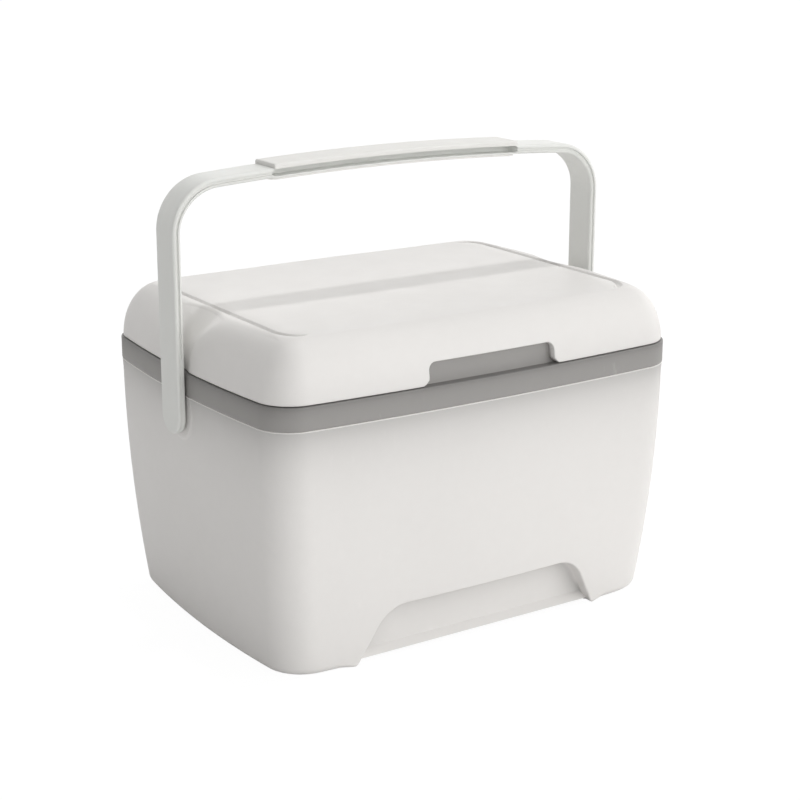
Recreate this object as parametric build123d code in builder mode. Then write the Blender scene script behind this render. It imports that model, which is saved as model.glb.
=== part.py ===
"""Hand-carried vaccine carrier: insulated box, lift-off lid and a swinging strap bail."""
import os
from math import atan2, cos, radians, sin, sqrt

from build123d import *

# ---------------------------------------------------------------------------
# Driving dimensions, in millimetres. The origin is on the floor under the
# centre of the box, +Z is up and the front, with the finger notch, faces -Y.
# ---------------------------------------------------------------------------

# Plan outline of the rim band: crowned sides and rounded corners
RIM_LENGTH = 320.0
RIM_DEPTH = 240.8
CROWN_FRONT = 6.0          # bow of the front and rear sides
CROWN_END = 7.3            # bow of the two ends
CORNER_RADIUS = 25.0

# Heights
BODY_HEIGHT = 163.5        # floor to the underside of the band
BAND_HEIGHT = 15.0
LID_HEIGHT = 36.5          # collar top to lid top
LID_GAP = 0.5              # shadow gap under the lid

# Body shell
SHELL_WALL = 2.5
BODY_INSET_TOP = 0.46      # wall behind the face of the band, just under it
BODY_INSET_BOTTOM = 10.4   # wall behind the face of the band, at the floor
BEAD_HEIGHT = 2.3          # small bead that meets the band
BEAD_INSET = 0.1
BOTTOM_FILLET = 6.0

# Recess in the front and rear foot, and the raised middle of the underside
RECESS_HEIGHT = 37.5
RECESS_HALF_TOP = 74.0     # where its sloping sides would meet its top edge
RECESS_HALF_BOTTOM = 94.0
RECESS_CORNER = 24.0
RECESS_DEPTH = 21.0        # recess wall behind the face of the band
LEDGE_HEIGHT = 7.3         # foot of the recess wall, where it runs out forwards
LEDGE_RUN = 4.5
UNDERSIDE_RISE = 3.0
UNDERSIDE_MARGIN = 2.0     # from the foot of the recess to the raised underside

# Rim collar
BAND_WALL = 2.8
BAND_EDGE = 0.7
SEAT_GAP = 0.3             # between the collar and the shell neck inside it
COLLAR_PLATE = 3.0
LIP_INSET = 7.2            # raised lip, seen through the finger notch
LIP_WALL = 2.8
LIP_HEIGHT = 16.0
LIP_EDGE = 0.8
LIP_STUB = 2.5             # height left of the lip beside the lid's end scoops
LIP_GAP_WIDTH = 60.0

# Tub
TUB_INSET = 24.0           # tub mouth behind the face of the band
TUB_WALL = 2.0
TUB_FLANGE = 8.0
TUB_FLANGE_THICKNESS = 1.5
TUB_FLOOR_HEIGHT = 28.0
TUB_DRAFT = 9.0            # how far the tub closes in from mouth to floor
TUB_CORNER = 18.0
TUB_FLOOR_FILLET = 6.0
TUB_FIT = 0.3

# Lid cover
LID_INSET = 1.2
LID_WALL = 2.6
LID_DRAFT = 5.2            # how far the lid wall leans in, up to the top plane
LID_TOP_FILLET = 20.0
GROOVE_FROM_END = 28.5     # behind the face of the band
GROOVE_WIDTH = 2.4
GROOVE_DEPTH = 1.1
GROOVE_FROM_FRONT = 48.4   # where its straight part starts
GROOVE_HOOK_RADIUS = 23.0
GROOVE_HOOK_TURN = 50.0
SCOOP_DEPTH = 3.8          # scoop floor behind the face of the band, at the collar
SCOOP_REACH = 34.2         # how far in its curve runs, up to its end above the lid
SCOOP_OVER_LID = 2.5       # end of that curve above the lid
SCOOP_RADIUS = 24.0
SCOOP_SPREAD = 75.0        # growth of the radius towards the top
NOTCH_HALF_WIDTH = 48.0
NOTCH_HEIGHT = 14.6
NOTCH_CORNER = 5.0
NOTCH_FLARE = 3.5

# Lid tray, plug and gasket
TRAY_WALL = 2.0
TRAY_GAP = 0.9             # between the collar lip and the tray
TRAY_OVER_LIP = 1.0
PLUG_DEPTH = 22.0
PLUG_GAP = 1.5             # between the plug and the mouth of the tub
PLUG_DRAFT = 3.0
PLUG_FILLET = 4.0
GASKET_THICKNESS = 1.6
GASKET_WIDTH = 6.0
GASKET_INSET = 12.0
GASKET_EDGE = 0.5
GASKET_GAP = 0.1

# Bail handle
ARM_CLEARANCE = 1.05       # between the band and an arm
BAIL_THICKNESS = 5.6
BAIL_WIDTH = 24.4
BAIL_RISE = 90.1           # top face of the bar above the lid, at mid length
BAIL_ARCH_RADIUS = 1920.0
BAIL_CORNER_RADIUS = 34.0
BAIL_EDGE = 1.6
SLOT_WIDTH = 1.4
SLOT_DEPTH = 1.2
SLOT_FROM_OUTSIDE = 2.3
SLOT_FOOT = 38.0           # slots stop this far above the pivot
PIVOT_BELOW_BAND = 13.8

# Grip
GRIP_HALF_LENGTH = 95.0
GRIP_COVER_THICKNESS = 2.7
GRIP_CHEEK = 0.9
GRIP_TOP_FILLET = 2.2
GRIP_SLOT_WIDTH = 2.2
GRIP_SLOT_DEPTH = 3.6
GRIP_SLOT_END = 1.0        # from the end of the cover to the end of the slot below it
GRIP_PAD_THICKNESS = 1.6
GRIP_PAD_WIDTH = 21.0
GRIP_PAD_HALF_LENGTH = 92.0
GRIP_PAD_EDGE = 0.7
GRIP_FIT = 0.1

# Pivots
PAD_RADIUS = 15.5
PAD_FLARE = 8.0            # growth of the radius down the pad's soft edge
PAD_DEPTH = 1.0            # from the pad's face to the foot of that edge, inside the wall
PIN_RADIUS = 5.0
PIN_RUNNING_FIT = 0.05
PIN_SEAT_DEPTH = 3.4       # into the arm
WASHER_RADIUS = 9.0
WASHER_GAP = 0.1
CLIP_RADIUS = 8.5
CLIP_THICKNESS = 1.2
CLIP_GAP = 0.3
CLIP_GROOVE_DEPTH = 1.0
CLIP_FIT = 0.1
CLIP_MOUTH = 6.0
CLIP_POCKET = 10.0
PIN_TAIL = 2.0
PIN_CHAMFER = 0.6

# Ice packs and pad
PACK_LENGTH = 163.0
PACK_THICKNESS = 34.0
PACK_EDGE = 5.0
PACK_GAP = 3.7             # between a pack and the foot of the tub's wall
PACK_PANEL_DEPTH = 1.5
PACK_PANEL_BORDER = 14.0
PACK_PANEL_CORNER = 8.0
NECK_RADIUS = 8.0
NECK_HEIGHT = 8.0
CAP_RADIUS = 11.0
CAP_HEIGHT = 10.0
CAP_RIBS = 12
CAP_RIB_DEPTH = 0.6
CAP_FLUTE_RADIUS = 0.9
CAP_FIT = 0.1
VIAL_ROWS = 2
VIALS_PER_ROW = 5
VIAL_SLIT_LENGTH = 18.0    # crossed slits in the pad, which grip a vial each
VIAL_SLIT_WIDTH = 1.0
VIAL_SPACING = 34.0
FOAM_PAD_THICKNESS = 18.0
FOAM_PAD_EDGE = 1.5
PLUG_CLEARANCE = 3.6       # between the pad and the plug of the lid
LOOSE_GAP = 0.3
FOAM_GAP = 0.3
OVERLAP = 1.0              # how far a form runs into the next, where the two join

# Worked out from the driving dimensions
RIM_HALF_LENGTH = RIM_LENGTH / 2
RIM_HALF_DEPTH = RIM_DEPTH / 2
COLLAR_TOP = BODY_HEIGHT + BAND_HEIGHT
LID_BASE = COLLAR_TOP + LID_GAP
LID_TOP = COLLAR_TOP + LID_HEIGHT

PIVOT_HEIGHT = BODY_HEIGHT - PIVOT_BELOW_BAND
UNDERSIDE_HALF = RECESS_HALF_BOTTOM - UNDERSIDE_MARGIN
GROOVE_POSITION = RIM_HALF_LENGTH - GROOVE_FROM_END
GROOVE_HALF_LENGTH = RIM_HALF_DEPTH - GROOVE_FROM_FRONT
SCOOP_OUTER = RIM_HALF_LENGTH - SCOOP_DEPTH
SCOOP_HEIGHT = LID_HEIGHT + SCOOP_OVER_LID

LIP_INNER = LIP_INSET + LIP_WALL
PLUG_INSET = TUB_INSET + TUB_FIT + TUB_WALL + PLUG_GAP
PLUG_FLOOR = COLLAR_TOP - PLUG_DEPTH
GASKET_BASE = COLLAR_TOP + GASKET_GAP
TRAY_RING = GASKET_BASE + GASKET_THICKNESS + GASKET_GAP
TRAY_FLANGE = COLLAR_TOP + LIP_HEIGHT + TRAY_OVER_LIP
TRAY_INSET = LIP_INNER + TRAY_GAP
LID_LEAN = LID_DRAFT / (LID_TOP - LID_BASE)
BAIL_INNER = RIM_HALF_LENGTH + ARM_CLEARANCE
BAIL_HALF_SPAN = BAIL_INNER + BAIL_THICKNESS
BAIL_TOP = LID_TOP + BAIL_RISE
BEND_X = BAIL_HALF_SPAN - BAIL_CORNER_RADIUS
ARCH_CENTRE = BAIL_TOP - BAIL_ARCH_RADIUS
BEND_Z = ARCH_CENTRE + sqrt((BAIL_ARCH_RADIUS - BAIL_CORNER_RADIUS) ** 2 - BEND_X**2)
PACK_FLOOR = TUB_FLOOR_HEIGHT + TUB_WALL + LOOSE_GAP
FOAM_PAD_BASE = PLUG_FLOOR - PLUG_CLEARANCE - FOAM_PAD_THICKNESS
CAP_BASE = FOAM_PAD_BASE - LOOSE_GAP - CAP_HEIGHT
PACK_HEIGHT = CAP_BASE - LOOSE_GAP - PACK_FLOOR
TUB_FOOT_INSET = TUB_INSET + TUB_FIT + TUB_WALL + TUB_DRAFT
PACK_FROM_MIDDLE = RIM_HALF_DEPTH - TUB_FOOT_INSET - PACK_GAP - PACK_THICKNESS
SHELL_FLOOR = UNDERSIDE_RISE + SHELL_WALL
NECK_INSET = BAND_WALL + SEAT_GAP
NECK_TOP = COLLAR_TOP - COLLAR_PLATE - SEAT_GAP
TO_FLOOR = (Align.CENTER, Align.CENTER, Align.MIN)


def plan_outline(height, inset, corner):
    """Return the plan outline of the box at a height, set in from the face of the band."""
    half_x = RIM_HALF_LENGTH - inset
    half_y = RIM_HALF_DEPTH - inset
    corner_x = half_x - CROWN_END
    corner_y = half_y - CROWN_FRONT
    with BuildSketch(Plane.XY.offset(height)) as outline:
        with BuildLine():
            ThreePointArc((-corner_x, -corner_y), (0, -half_y), (corner_x, -corner_y))
            ThreePointArc((corner_x, -corner_y), (half_x, 0), (corner_x, corner_y))
            ThreePointArc((corner_x, corner_y), (0, half_y), (-corner_x, corner_y))
            ThreePointArc((-corner_x, corner_y), (-half_x, 0), (-corner_x, -corner_y))
        make_face()
        fillet(outline.vertices(), corner)
    return outline.sketch


def plan_corner(inset):
    """Corner radius of an outline that runs parallel to the band, set in from it."""
    return max(CORNER_RADIUS - inset, TUB_CORNER)


def plan_prism(bottom, top, inset, mode=Mode.ADD):
    """Extrude the plan outline between two heights."""
    extrude(plan_outline(bottom, inset, plan_corner(inset)), amount=top - bottom, mode=mode)


def plan_ring(bottom, top, outer_inset, inner_inset):
    """Extrude the strip of plan between two outlines, from one height to another."""
    with BuildSketch(Plane.XY.offset(bottom)) as ring:
        add(plan_outline(0, outer_inset, plan_corner(outer_inset)))
        add(plan_outline(0, inner_inset, plan_corner(inner_inset)), mode=Mode.SUBTRACT)
    extrude(ring.sketch, amount=top - bottom)


# ---------------------------------------------------------------------------
# Forms that more than one piece of the body shares
# ---------------------------------------------------------------------------


def body_inset(height):
    """How far the shell wall stands behind the band: a convex taper, steepest at the floor."""
    down = (BODY_HEIGHT - height) / BODY_HEIGHT
    return BODY_INSET_TOP + (BODY_INSET_BOTTOM - BODY_INSET_TOP) * down**2


def body_form(set_in):
    """Loft the tapering body over its full height, set in from its outer face."""
    levels = [BODY_HEIGHT * third / 3 for third in range(4)]
    corner = CORNER_RADIUS - set_in / 2
    loft([plan_outline(height, body_inset(height) + set_in, corner) for height in levels])


def trim(bottom, top):
    """Cut away all that lies outside two heights."""
    with Locations((0, 0, bottom)):
        Box(2 * RIM_LENGTH, 2 * RIM_DEPTH, top - bottom, align=TO_FLOOR, mode=Mode.INTERSECT)


def tub_form(set_in, floor, mode=Mode.ADD):
    """Loft the drafted tub from a floor up to its mouth, set in from the mouth's edge."""
    deep = TUB_DRAFT * (COLLAR_TOP - floor) / (COLLAR_TOP - TUB_FLOOR_HEIGHT)
    bottom = plan_outline(floor, TUB_INSET + set_in + deep, TUB_CORNER)
    loft([bottom, plan_outline(COLLAR_TOP, TUB_INSET + set_in, TUB_CORNER)], mode=mode)


def recess_cutter(side, grow):
    """Return the foot recess of one side as a solid, grown by a wall or a gap."""
    half_top = RECESS_HALF_TOP + grow
    half_bottom = RECESS_HALF_BOTTOM + grow
    top = RECESS_HEIGHT + grow
    wall = RIM_HALF_DEPTH - RECESS_DEPTH - grow
    with BuildPart() as cutter:
        with BuildSketch(Plane.XZ.offset(-side * wall)) as arch:
            with BuildLine():
                Polyline((-half_bottom, 0), (-half_top, top), (half_top, top), (half_bottom, 0), close=True)
            make_face()
            fillet(arch.vertices().group_by(Axis.Y)[-1], RECESS_CORNER + grow)
        extrude(amount=-side * RECESS_DEPTH * 2)
        if grow == 0:
            with BuildSketch(Plane.YZ.offset(-half_bottom)) as ledge:
                with BuildLine():
                    Polyline(
                        (side * wall, 0),
                        (side * (wall + LEDGE_RUN), 0),
                        (side * (wall + LEDGE_RUN), UNDERSIDE_RISE),
                        (side * wall, LEDGE_HEIGHT),
                        close=True,
                    )
                make_face()
            extrude(amount=2 * half_bottom, mode=Mode.SUBTRACT)
    return cutter.part


def pivot_pad(reach, half_width):
    """Return one level of a pivot pad: a round-ended tongue that hangs from the band."""
    with BuildSketch(Plane.YZ.offset(reach)) as tongue:
        with Locations((0, PIVOT_HEIGHT)):
            Circle(half_width)
            Rectangle(2 * half_width, half_width, align=(Align.CENTER, Align.MIN))
        with Locations((0, BODY_HEIGHT)):
            Rectangle(3 * half_width, half_width, align=(Align.CENTER, Align.MIN), mode=Mode.SUBTRACT)
    return tongue.sketch


def pivot_rod(side, radius, inner_end, outer_end):
    """Return a round solid on the pivot axis, between two distances from the middle."""
    with BuildPart() as rod:
        with BuildSketch(Plane.YZ.offset(side * inner_end)):
            with Locations((0, PIVOT_HEIGHT)):
                Circle(radius)
        extrude(amount=side * (outer_end - inner_end))
    return rod.part


CLIP_OUTER = RIM_HALF_LENGTH - body_inset(PIVOT_HEIGHT) - SHELL_WALL - CLIP_GAP
PIN_END = CLIP_OUTER - CLIP_THICKNESS - PIN_TAIL

# ---------------------------------------------------------------------------
# Body
# ---------------------------------------------------------------------------

# Hollow of the shell, which the foam and the tub fill
with BuildPart() as shell_hollow:
    body_form(SHELL_WALL)
    trim(SHELL_FLOOR, BODY_HEIGHT)
    for side in (-1, 1):
        add(recess_cutter(side, SHELL_WALL), mode=Mode.SUBTRACT)

# White outer moulding: tapered walls, foot recesses, runner feet and pivot pads
with BuildPart() as outer_shell:
    body_form(0)
    fillet(outer_shell.edges().group_by(Axis.Z)[0], BOTTOM_FILLET)
    for side in (-1, 1):
        pad_face = pivot_pad(side * RIM_HALF_LENGTH, PAD_RADIUS)
        pad_foot = pivot_pad(side * (RIM_HALF_LENGTH - PAD_DEPTH), PAD_RADIUS + PAD_FLARE)
        loft([pad_foot, pad_face], ruled=True)
        extrude(pad_foot, amount=PAD_DEPTH, dir=(-side, 0, 0))
        add(recess_cutter(side, 0), mode=Mode.SUBTRACT)
    with Locations((0, 0, UNDERSIDE_RISE / 2)):
        Box(2 * UNDERSIDE_HALF, RIM_DEPTH, UNDERSIDE_RISE, mode=Mode.SUBTRACT)
    add(shell_hollow.part, mode=Mode.SUBTRACT)
    plan_ring(BODY_HEIGHT - BEAD_HEIGHT, BODY_HEIGHT, BEAD_INSET, NECK_INSET + SHELL_WALL)
    plan_ring(BODY_HEIGHT, NECK_TOP, NECK_INSET, NECK_INSET + SHELL_WALL)
    for side in (-1, 1):
        add(pivot_rod(side, PIN_RADIUS + PIN_RUNNING_FIT, PIN_END, RIM_HALF_LENGTH), mode=Mode.SUBTRACT)
outer_shell.part.label = "outer_shell"

# Grey collar: the band round the mouth, its top plate and the raised lip
with BuildPart() as rim_collar:
    plan_prism(BODY_HEIGHT, COLLAR_TOP, 0)
    fillet(rim_collar.edges().group_by(Axis.Z)[0], BAND_EDGE)
    fillet(rim_collar.edges().group_by(Axis.Z)[-1], BAND_EDGE)
    plan_prism(BODY_HEIGHT, COLLAR_TOP - COLLAR_PLATE, BAND_WALL, Mode.SUBTRACT)
    plan_ring(COLLAR_TOP, COLLAR_TOP + LIP_HEIGHT, LIP_INSET, LIP_INNER)
    fillet(rim_collar.edges().group_by(Axis.Z)[-1], LIP_EDGE)
    with Locations((0, 0, COLLAR_TOP + LIP_STUB)):
        Box(RIM_LENGTH, LIP_GAP_WIDTH, LIP_HEIGHT, align=TO_FLOOR, mode=Mode.SUBTRACT)
    plan_prism(BODY_HEIGHT, COLLAR_TOP, TUB_INSET, Mode.SUBTRACT)
    plan_prism(COLLAR_TOP - TUB_FLANGE_THICKNESS, COLLAR_TOP, TUB_INSET - TUB_FLANGE, Mode.SUBTRACT)
rim_collar.part.label = "rim_collar"

# Hollow of the tub
with BuildPart() as tub_hollow:
    tub_form(TUB_FIT + TUB_WALL, TUB_FLOOR_HEIGHT + TUB_WALL)
    fillet(tub_hollow.edges().group_by(Axis.Z)[0], TUB_FLOOR_FILLET)

# Tub: drafted walls, rounded floor and a flange that lies in the collar's rebate
with BuildPart() as inner_liner:
    tub_form(TUB_FIT, TUB_FLOOR_HEIGHT)
    fillet(inner_liner.edges().group_by(Axis.Z)[0], TUB_FLOOR_FILLET + TUB_WALL)
    plan_prism(COLLAR_TOP - TUB_FLANGE_THICKNESS, COLLAR_TOP, TUB_INSET - TUB_FLANGE + TUB_FIT)
    add(tub_hollow.part, mode=Mode.SUBTRACT)
inner_liner.part.label = "inner_liner"

# Foam between shell and tub, poured up to the collar, with a pocket behind each pivot
with BuildPart() as body_insulation:
    body_form(SHELL_WALL + FOAM_GAP)
    trim(SHELL_FLOOR + FOAM_GAP, BODY_HEIGHT - BEAD_HEIGHT - FOAM_GAP)
    for side in (-1, 1):
        add(recess_cutter(side, SHELL_WALL + FOAM_GAP), mode=Mode.SUBTRACT)
    plan_prism(
        BODY_HEIGHT - 2 * BEAD_HEIGHT,
        COLLAR_TOP - COLLAR_PLATE - FOAM_GAP,
        NECK_INSET + SHELL_WALL + FOAM_GAP,
    )
    tub_form(TUB_FIT - FOAM_GAP, TUB_FLOOR_HEIGHT - FOAM_GAP, Mode.SUBTRACT)
    for side in (-1, 1):
        add(pivot_rod(side, CLIP_POCKET, PIN_END - CLIP_GAP, RIM_HALF_LENGTH), mode=Mode.SUBTRACT)
body_insulation.part.label = "body_insulation"


# ---------------------------------------------------------------------------
# Lid
# ---------------------------------------------------------------------------


def lid_inset(height):
    """How far the lid's wall stands behind the face of the band at a height."""
    return LID_INSET + LID_LEAN * (height - LID_BASE)


def lid_form(set_in, base, top):
    """Loft the leaning lid walls between two heights, set in from their outer face."""
    corner = CORNER_RADIUS - set_in / 2
    loft([plan_outline(height, lid_inset(height) + set_in, corner) for height in (base, top)])


def lid_scoop(side, grow):
    """Return the flared scoop that lets an arm pass, grown by a wall or a gap."""
    with BuildPart() as scoop:
        for angle in range(-8, 88, 8):
            rise = sin(radians(angle))
            radius = SCOOP_RADIUS + SCOOP_SPREAD * rise**4 + grow
            floor = SCOOP_OUTER - SCOOP_REACH + (SCOOP_REACH - grow) * cos(radians(angle))
            with BuildSketch(Plane.XY.offset(COLLAR_TOP + (SCOOP_HEIGHT - grow) * rise)):
                with Locations((side * (floor + radius), 0)):
                    Circle(radius)
        loft()
    return scoop.part


def lid_groove(side):
    """Return the cutter of one groove: a round bead along the lid, hooked inwards at both ends."""
    height = LID_TOP + GROOVE_WIDTH / 2 - GROOVE_DEPTH
    centre_x = side * (GROOVE_POSITION - GROOVE_HOOK_RADIUS)
    with BuildPart() as groove:
        with BuildSketch(Plane.XZ.offset(-GROOVE_HALF_LENGTH)) as bead:
            with Locations((side * GROOVE_POSITION, height)):
                Circle(GROOVE_WIDTH / 2)
        extrude(amount=2 * GROOVE_HALF_LENGTH)
        for end in (-1, 1):
            pivot = Axis((centre_x, end * GROOVE_HALF_LENGTH, 0), (0, 0, side * end))
            section = Plane.XZ.offset(-end * GROOVE_HALF_LENGTH)
            with BuildSketch(section):
                with Locations((side * GROOVE_POSITION, height)):
                    Circle(GROOVE_WIDTH / 2)
            revolve(axis=pivot, revolution_arc=GROOVE_HOOK_TURN)
            turn = radians(GROOVE_HOOK_TURN)
            tip_x = centre_x + side * GROOVE_HOOK_RADIUS * cos(turn)
            tip_y = end * (GROOVE_HALF_LENGTH + GROOVE_HOOK_RADIUS * sin(turn))
            with Locations((tip_x, tip_y, height)):
                Sphere(GROOVE_WIDTH / 2)
    return groove.part


def plug_form(set_in, floor, top, mode=Mode.ADD):
    """Loft the tapering plug of the lid between two heights, set in from its outer face."""
    lean = PLUG_DRAFT / PLUG_DEPTH
    levels = [
        plan_outline(height, PLUG_INSET + set_in + lean * (COLLAR_TOP - height), TUB_CORNER)
        for height in (floor, top)
    ]
    loft(levels, mode=mode)


# Hollow of the lid, which the tray and the foam fill
with BuildPart() as lid_hollow:
    lid_form(LID_WALL, COLLAR_TOP, LID_TOP - LID_WALL)
    fillet(lid_hollow.edges().group_by(Axis.Z)[-1], LID_TOP_FILLET - LID_WALL)
    for side in (-1, 1):
        add(lid_scoop(side, LID_WALL), mode=Mode.SUBTRACT)

# White lid moulding: rounded top, end scoops, two grooves and the finger notch
with BuildPart() as lid_cover:
    lid_form(0, LID_BASE, LID_TOP)
    fillet(lid_cover.edges().group_by(Axis.Z)[-1], LID_TOP_FILLET)
    for side in (-1, 1):
        add(lid_scoop(side, 0), mode=Mode.SUBTRACT)
    add(lid_hollow.part, mode=Mode.SUBTRACT)
    with BuildSketch(Plane.XZ.offset(RIM_HALF_DEPTH - LIP_INSET)) as notch:
        with BuildLine():
            Polyline(
                (-NOTCH_HALF_WIDTH - NOTCH_FLARE, LID_BASE),
                (-NOTCH_HALF_WIDTH, LID_BASE + NOTCH_FLARE),
                (-NOTCH_HALF_WIDTH, COLLAR_TOP + NOTCH_HEIGHT),
                (NOTCH_HALF_WIDTH, COLLAR_TOP + NOTCH_HEIGHT),
                (NOTCH_HALF_WIDTH, LID_BASE + NOTCH_FLARE),
                (NOTCH_HALF_WIDTH + NOTCH_FLARE, LID_BASE),
                close=True,
            )
        make_face()
        fillet(notch.vertices().group_by(Axis.Y)[-1], NOTCH_CORNER)
    extrude(amount=LIP_INSET, mode=Mode.SUBTRACT)
    for side in (-1, 1):
        add(lid_groove(side), mode=Mode.SUBTRACT)
lid_cover.part.label = "lid_cover"

# Tray that closes the lid from below: flange, wall, seat for the gasket, and the plug
with BuildPart() as lid_liner:
    plug_form(0, PLUG_FLOOR, TRAY_RING)
    fillet(lid_liner.edges().group_by(Axis.Z)[0], PLUG_FILLET)
    plan_prism(TRAY_RING, TRAY_FLANGE, TRAY_INSET)
    flange_top = TRAY_FLANGE + TRAY_WALL
    lid_form(LID_WALL + SEAT_GAP, TRAY_FLANGE, flange_top)
    plan_prism(TRAY_RING + TRAY_WALL, flange_top, TRAY_INSET + TRAY_WALL, Mode.SUBTRACT)
    plug_form(TRAY_WALL, PLUG_FLOOR + TRAY_WALL, flange_top, Mode.SUBTRACT)
    for side in (-1, 1):
        add(lid_scoop(side, LID_WALL + FOAM_GAP), mode=Mode.SUBTRACT)
lid_liner.part.label = "lid_liner"

# Foam that fills the hollow of the lid, the tray and the plug
with BuildPart() as lid_insulation:
    lid_form(LID_WALL + FOAM_GAP, COLLAR_TOP, LID_TOP - LID_WALL - FOAM_GAP)
    fillet(lid_insulation.edges().group_by(Axis.Z)[-1], LID_TOP_FILLET - LID_WALL - FOAM_GAP)
    trim(flange_top + FOAM_GAP, LID_TOP)
    plan_prism(TRAY_RING + TRAY_WALL + FOAM_GAP, flange_top + OVERLAP, TRAY_INSET + TRAY_WALL + FOAM_GAP)
    plug_form(TRAY_WALL + FOAM_GAP, PLUG_FLOOR + TRAY_WALL + FOAM_GAP, flange_top)
    for side in (-1, 1):
        add(lid_scoop(side, LID_WALL + FOAM_GAP), mode=Mode.SUBTRACT)
lid_insulation.part.label = "lid_insulation"

# Soft gasket between the tray's seat and the top of the collar
with BuildPart() as lid_gasket:
    plan_ring(GASKET_BASE, GASKET_BASE + GASKET_THICKNESS, GASKET_INSET, GASKET_INSET + GASKET_WIDTH)
    fillet(lid_gasket.edges().group_by(Axis.Z)[0], GASKET_EDGE)
lid_gasket.part.label = "lid_gasket"


# ---------------------------------------------------------------------------
# Bail handle, which stands upright over the lid and swings to the front and rear
# ---------------------------------------------------------------------------


def bail_area(depth, foot):
    """Return the area under the strap's curve, which runs a depth below its outer face."""
    reach = BAIL_CORNER_RADIUS - depth
    turn = atan2(BEND_Z - ARCH_CENTRE, BEND_X)
    arm_x = BAIL_HALF_SPAN - depth
    bend = (BEND_X + reach * cos(turn / 2), BEND_Z + reach * sin(turn / 2))
    meet = (BEND_X + reach * cos(turn), BEND_Z + reach * sin(turn))
    with BuildSketch(Plane.XZ) as area:
        with BuildLine():
            ThreePointArc((-meet[0], meet[1]), (0, BAIL_TOP - depth), meet)
            ThreePointArc(meet, bend, (arm_x, BEND_Z))
            Polyline((arm_x, BEND_Z), (arm_x, foot), (-arm_x, foot), (-arm_x, BEND_Z))
            ThreePointArc((-arm_x, BEND_Z), (-bend[0], bend[1]), (-meet[0], meet[1]))
        make_face()
    return area.sketch


def bail_strip(outer, inner, foot, half_width, mode=Mode.ADD):
    """Extrude the strip between two depths below the strap's outer face, down to a foot."""
    with BuildSketch(Plane.XZ) as strip:
        add(bail_area(outer, foot))
        add(bail_area(inner, foot), mode=Mode.SUBTRACT)
    extrude(strip.sketch, amount=half_width, both=True, mode=mode)


def bail_slots(width, depth, foot, half_length):
    """Return the cutter of the slots along both edges of the strap, within a half length."""
    with BuildPart() as slots:
        bail_strip(SLOT_FROM_OUTSIDE, SLOT_FROM_OUTSIDE + width, foot, BAIL_WIDTH)
        Box(3 * BAIL_HALF_SPAN, BAIL_WIDTH - 2 * depth, 3 * BAIL_TOP, mode=Mode.SUBTRACT)
        Box(2 * half_length, 3 * BAIL_WIDTH, 3 * BAIL_TOP, mode=Mode.INTERSECT)
    return slots.part


def pivot_pin(side):
    """Return a headless stud, grooved for its clip, which turns with the bail."""
    with BuildPart() as pin:
        add(pivot_rod(side, PIN_RADIUS, PIN_END, BAIL_INNER + PIN_SEAT_DEPTH - LOOSE_GAP))
        chamfer(pin.edges().group_by(Axis.X)[0 if side > 0 else -1], PIN_CHAMFER)
        neck_inner = CLIP_OUTER - CLIP_THICKNESS - CLIP_FIT
        with BuildSketch(Plane.YZ.offset(side * neck_inner)):
            with Locations((0, PIVOT_HEIGHT)):
                Circle(PIN_RADIUS)
                Circle(PIN_RADIUS - CLIP_GROOVE_DEPTH, mode=Mode.SUBTRACT)
        extrude(amount=side * (CLIP_THICKNESS + 2 * CLIP_FIT), mode=Mode.SUBTRACT)
    return pin.part


def pivot_washer(side):
    """Return the thin washer that keeps an arm off its pad."""
    with BuildPart() as washer:
        add(pivot_rod(side, WASHER_RADIUS, RIM_HALF_LENGTH + WASHER_GAP, BAIL_INNER - WASHER_GAP))
        add(
            pivot_rod(side, PIN_RADIUS + PIN_RUNNING_FIT, RIM_HALF_LENGTH, BAIL_INNER),
            mode=Mode.SUBTRACT,
        )
    return washer.part


def pivot_clip(side):
    """Return the open ring that snaps into the groove of a pin, inside the shell."""
    with BuildPart() as clip:
        with BuildSketch(Plane.YZ.offset(side * (CLIP_OUTER - CLIP_THICKNESS))):
            with Locations((0, PIVOT_HEIGHT)):
                Circle(CLIP_RADIUS)
                Circle(PIN_RADIUS - CLIP_GROOVE_DEPTH + CLIP_FIT, mode=Mode.SUBTRACT)
                Rectangle(
                    CLIP_MOUTH,
                    2 * CLIP_RADIUS,
                    align=(Align.CENTER, Align.MAX),
                    mode=Mode.SUBTRACT,
                )
        extrude(amount=side * CLIP_THICKNESS)
    return clip.part


# Strap bent into a bail: round arm ends, slotted edges and blind seats for the pins
with BuildPart() as handle_bail:
    bail_strip(0, BAIL_THICKNESS, PIVOT_HEIGHT, BAIL_WIDTH / 2)
    for side in (-1, 1):
        add(pivot_rod(side, BAIL_WIDTH / 2, BAIL_INNER, BAIL_HALF_SPAN))
    long_edges = handle_bail.edges().filter_by(lambda edge: edge.length > BAIL_WIDTH + 1)
    fillet(long_edges, BAIL_EDGE)
    add(
        bail_slots(SLOT_WIDTH, SLOT_DEPTH, PIVOT_HEIGHT + SLOT_FOOT, BAIL_HALF_SPAN),
        mode=Mode.SUBTRACT,
    )
    add(
        bail_slots(GRIP_SLOT_WIDTH, GRIP_SLOT_DEPTH, PIVOT_HEIGHT, GRIP_HALF_LENGTH - GRIP_SLOT_END),
        mode=Mode.SUBTRACT,
    )
    for side in (-1, 1):
        seat_end = BAIL_INNER + PIN_SEAT_DEPTH
        add(pivot_rod(side, PIN_RADIUS + PIN_RUNNING_FIT, BAIL_INNER, seat_end), mode=Mode.SUBTRACT)
handle_bail.part.label = "handle_bail"

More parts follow.
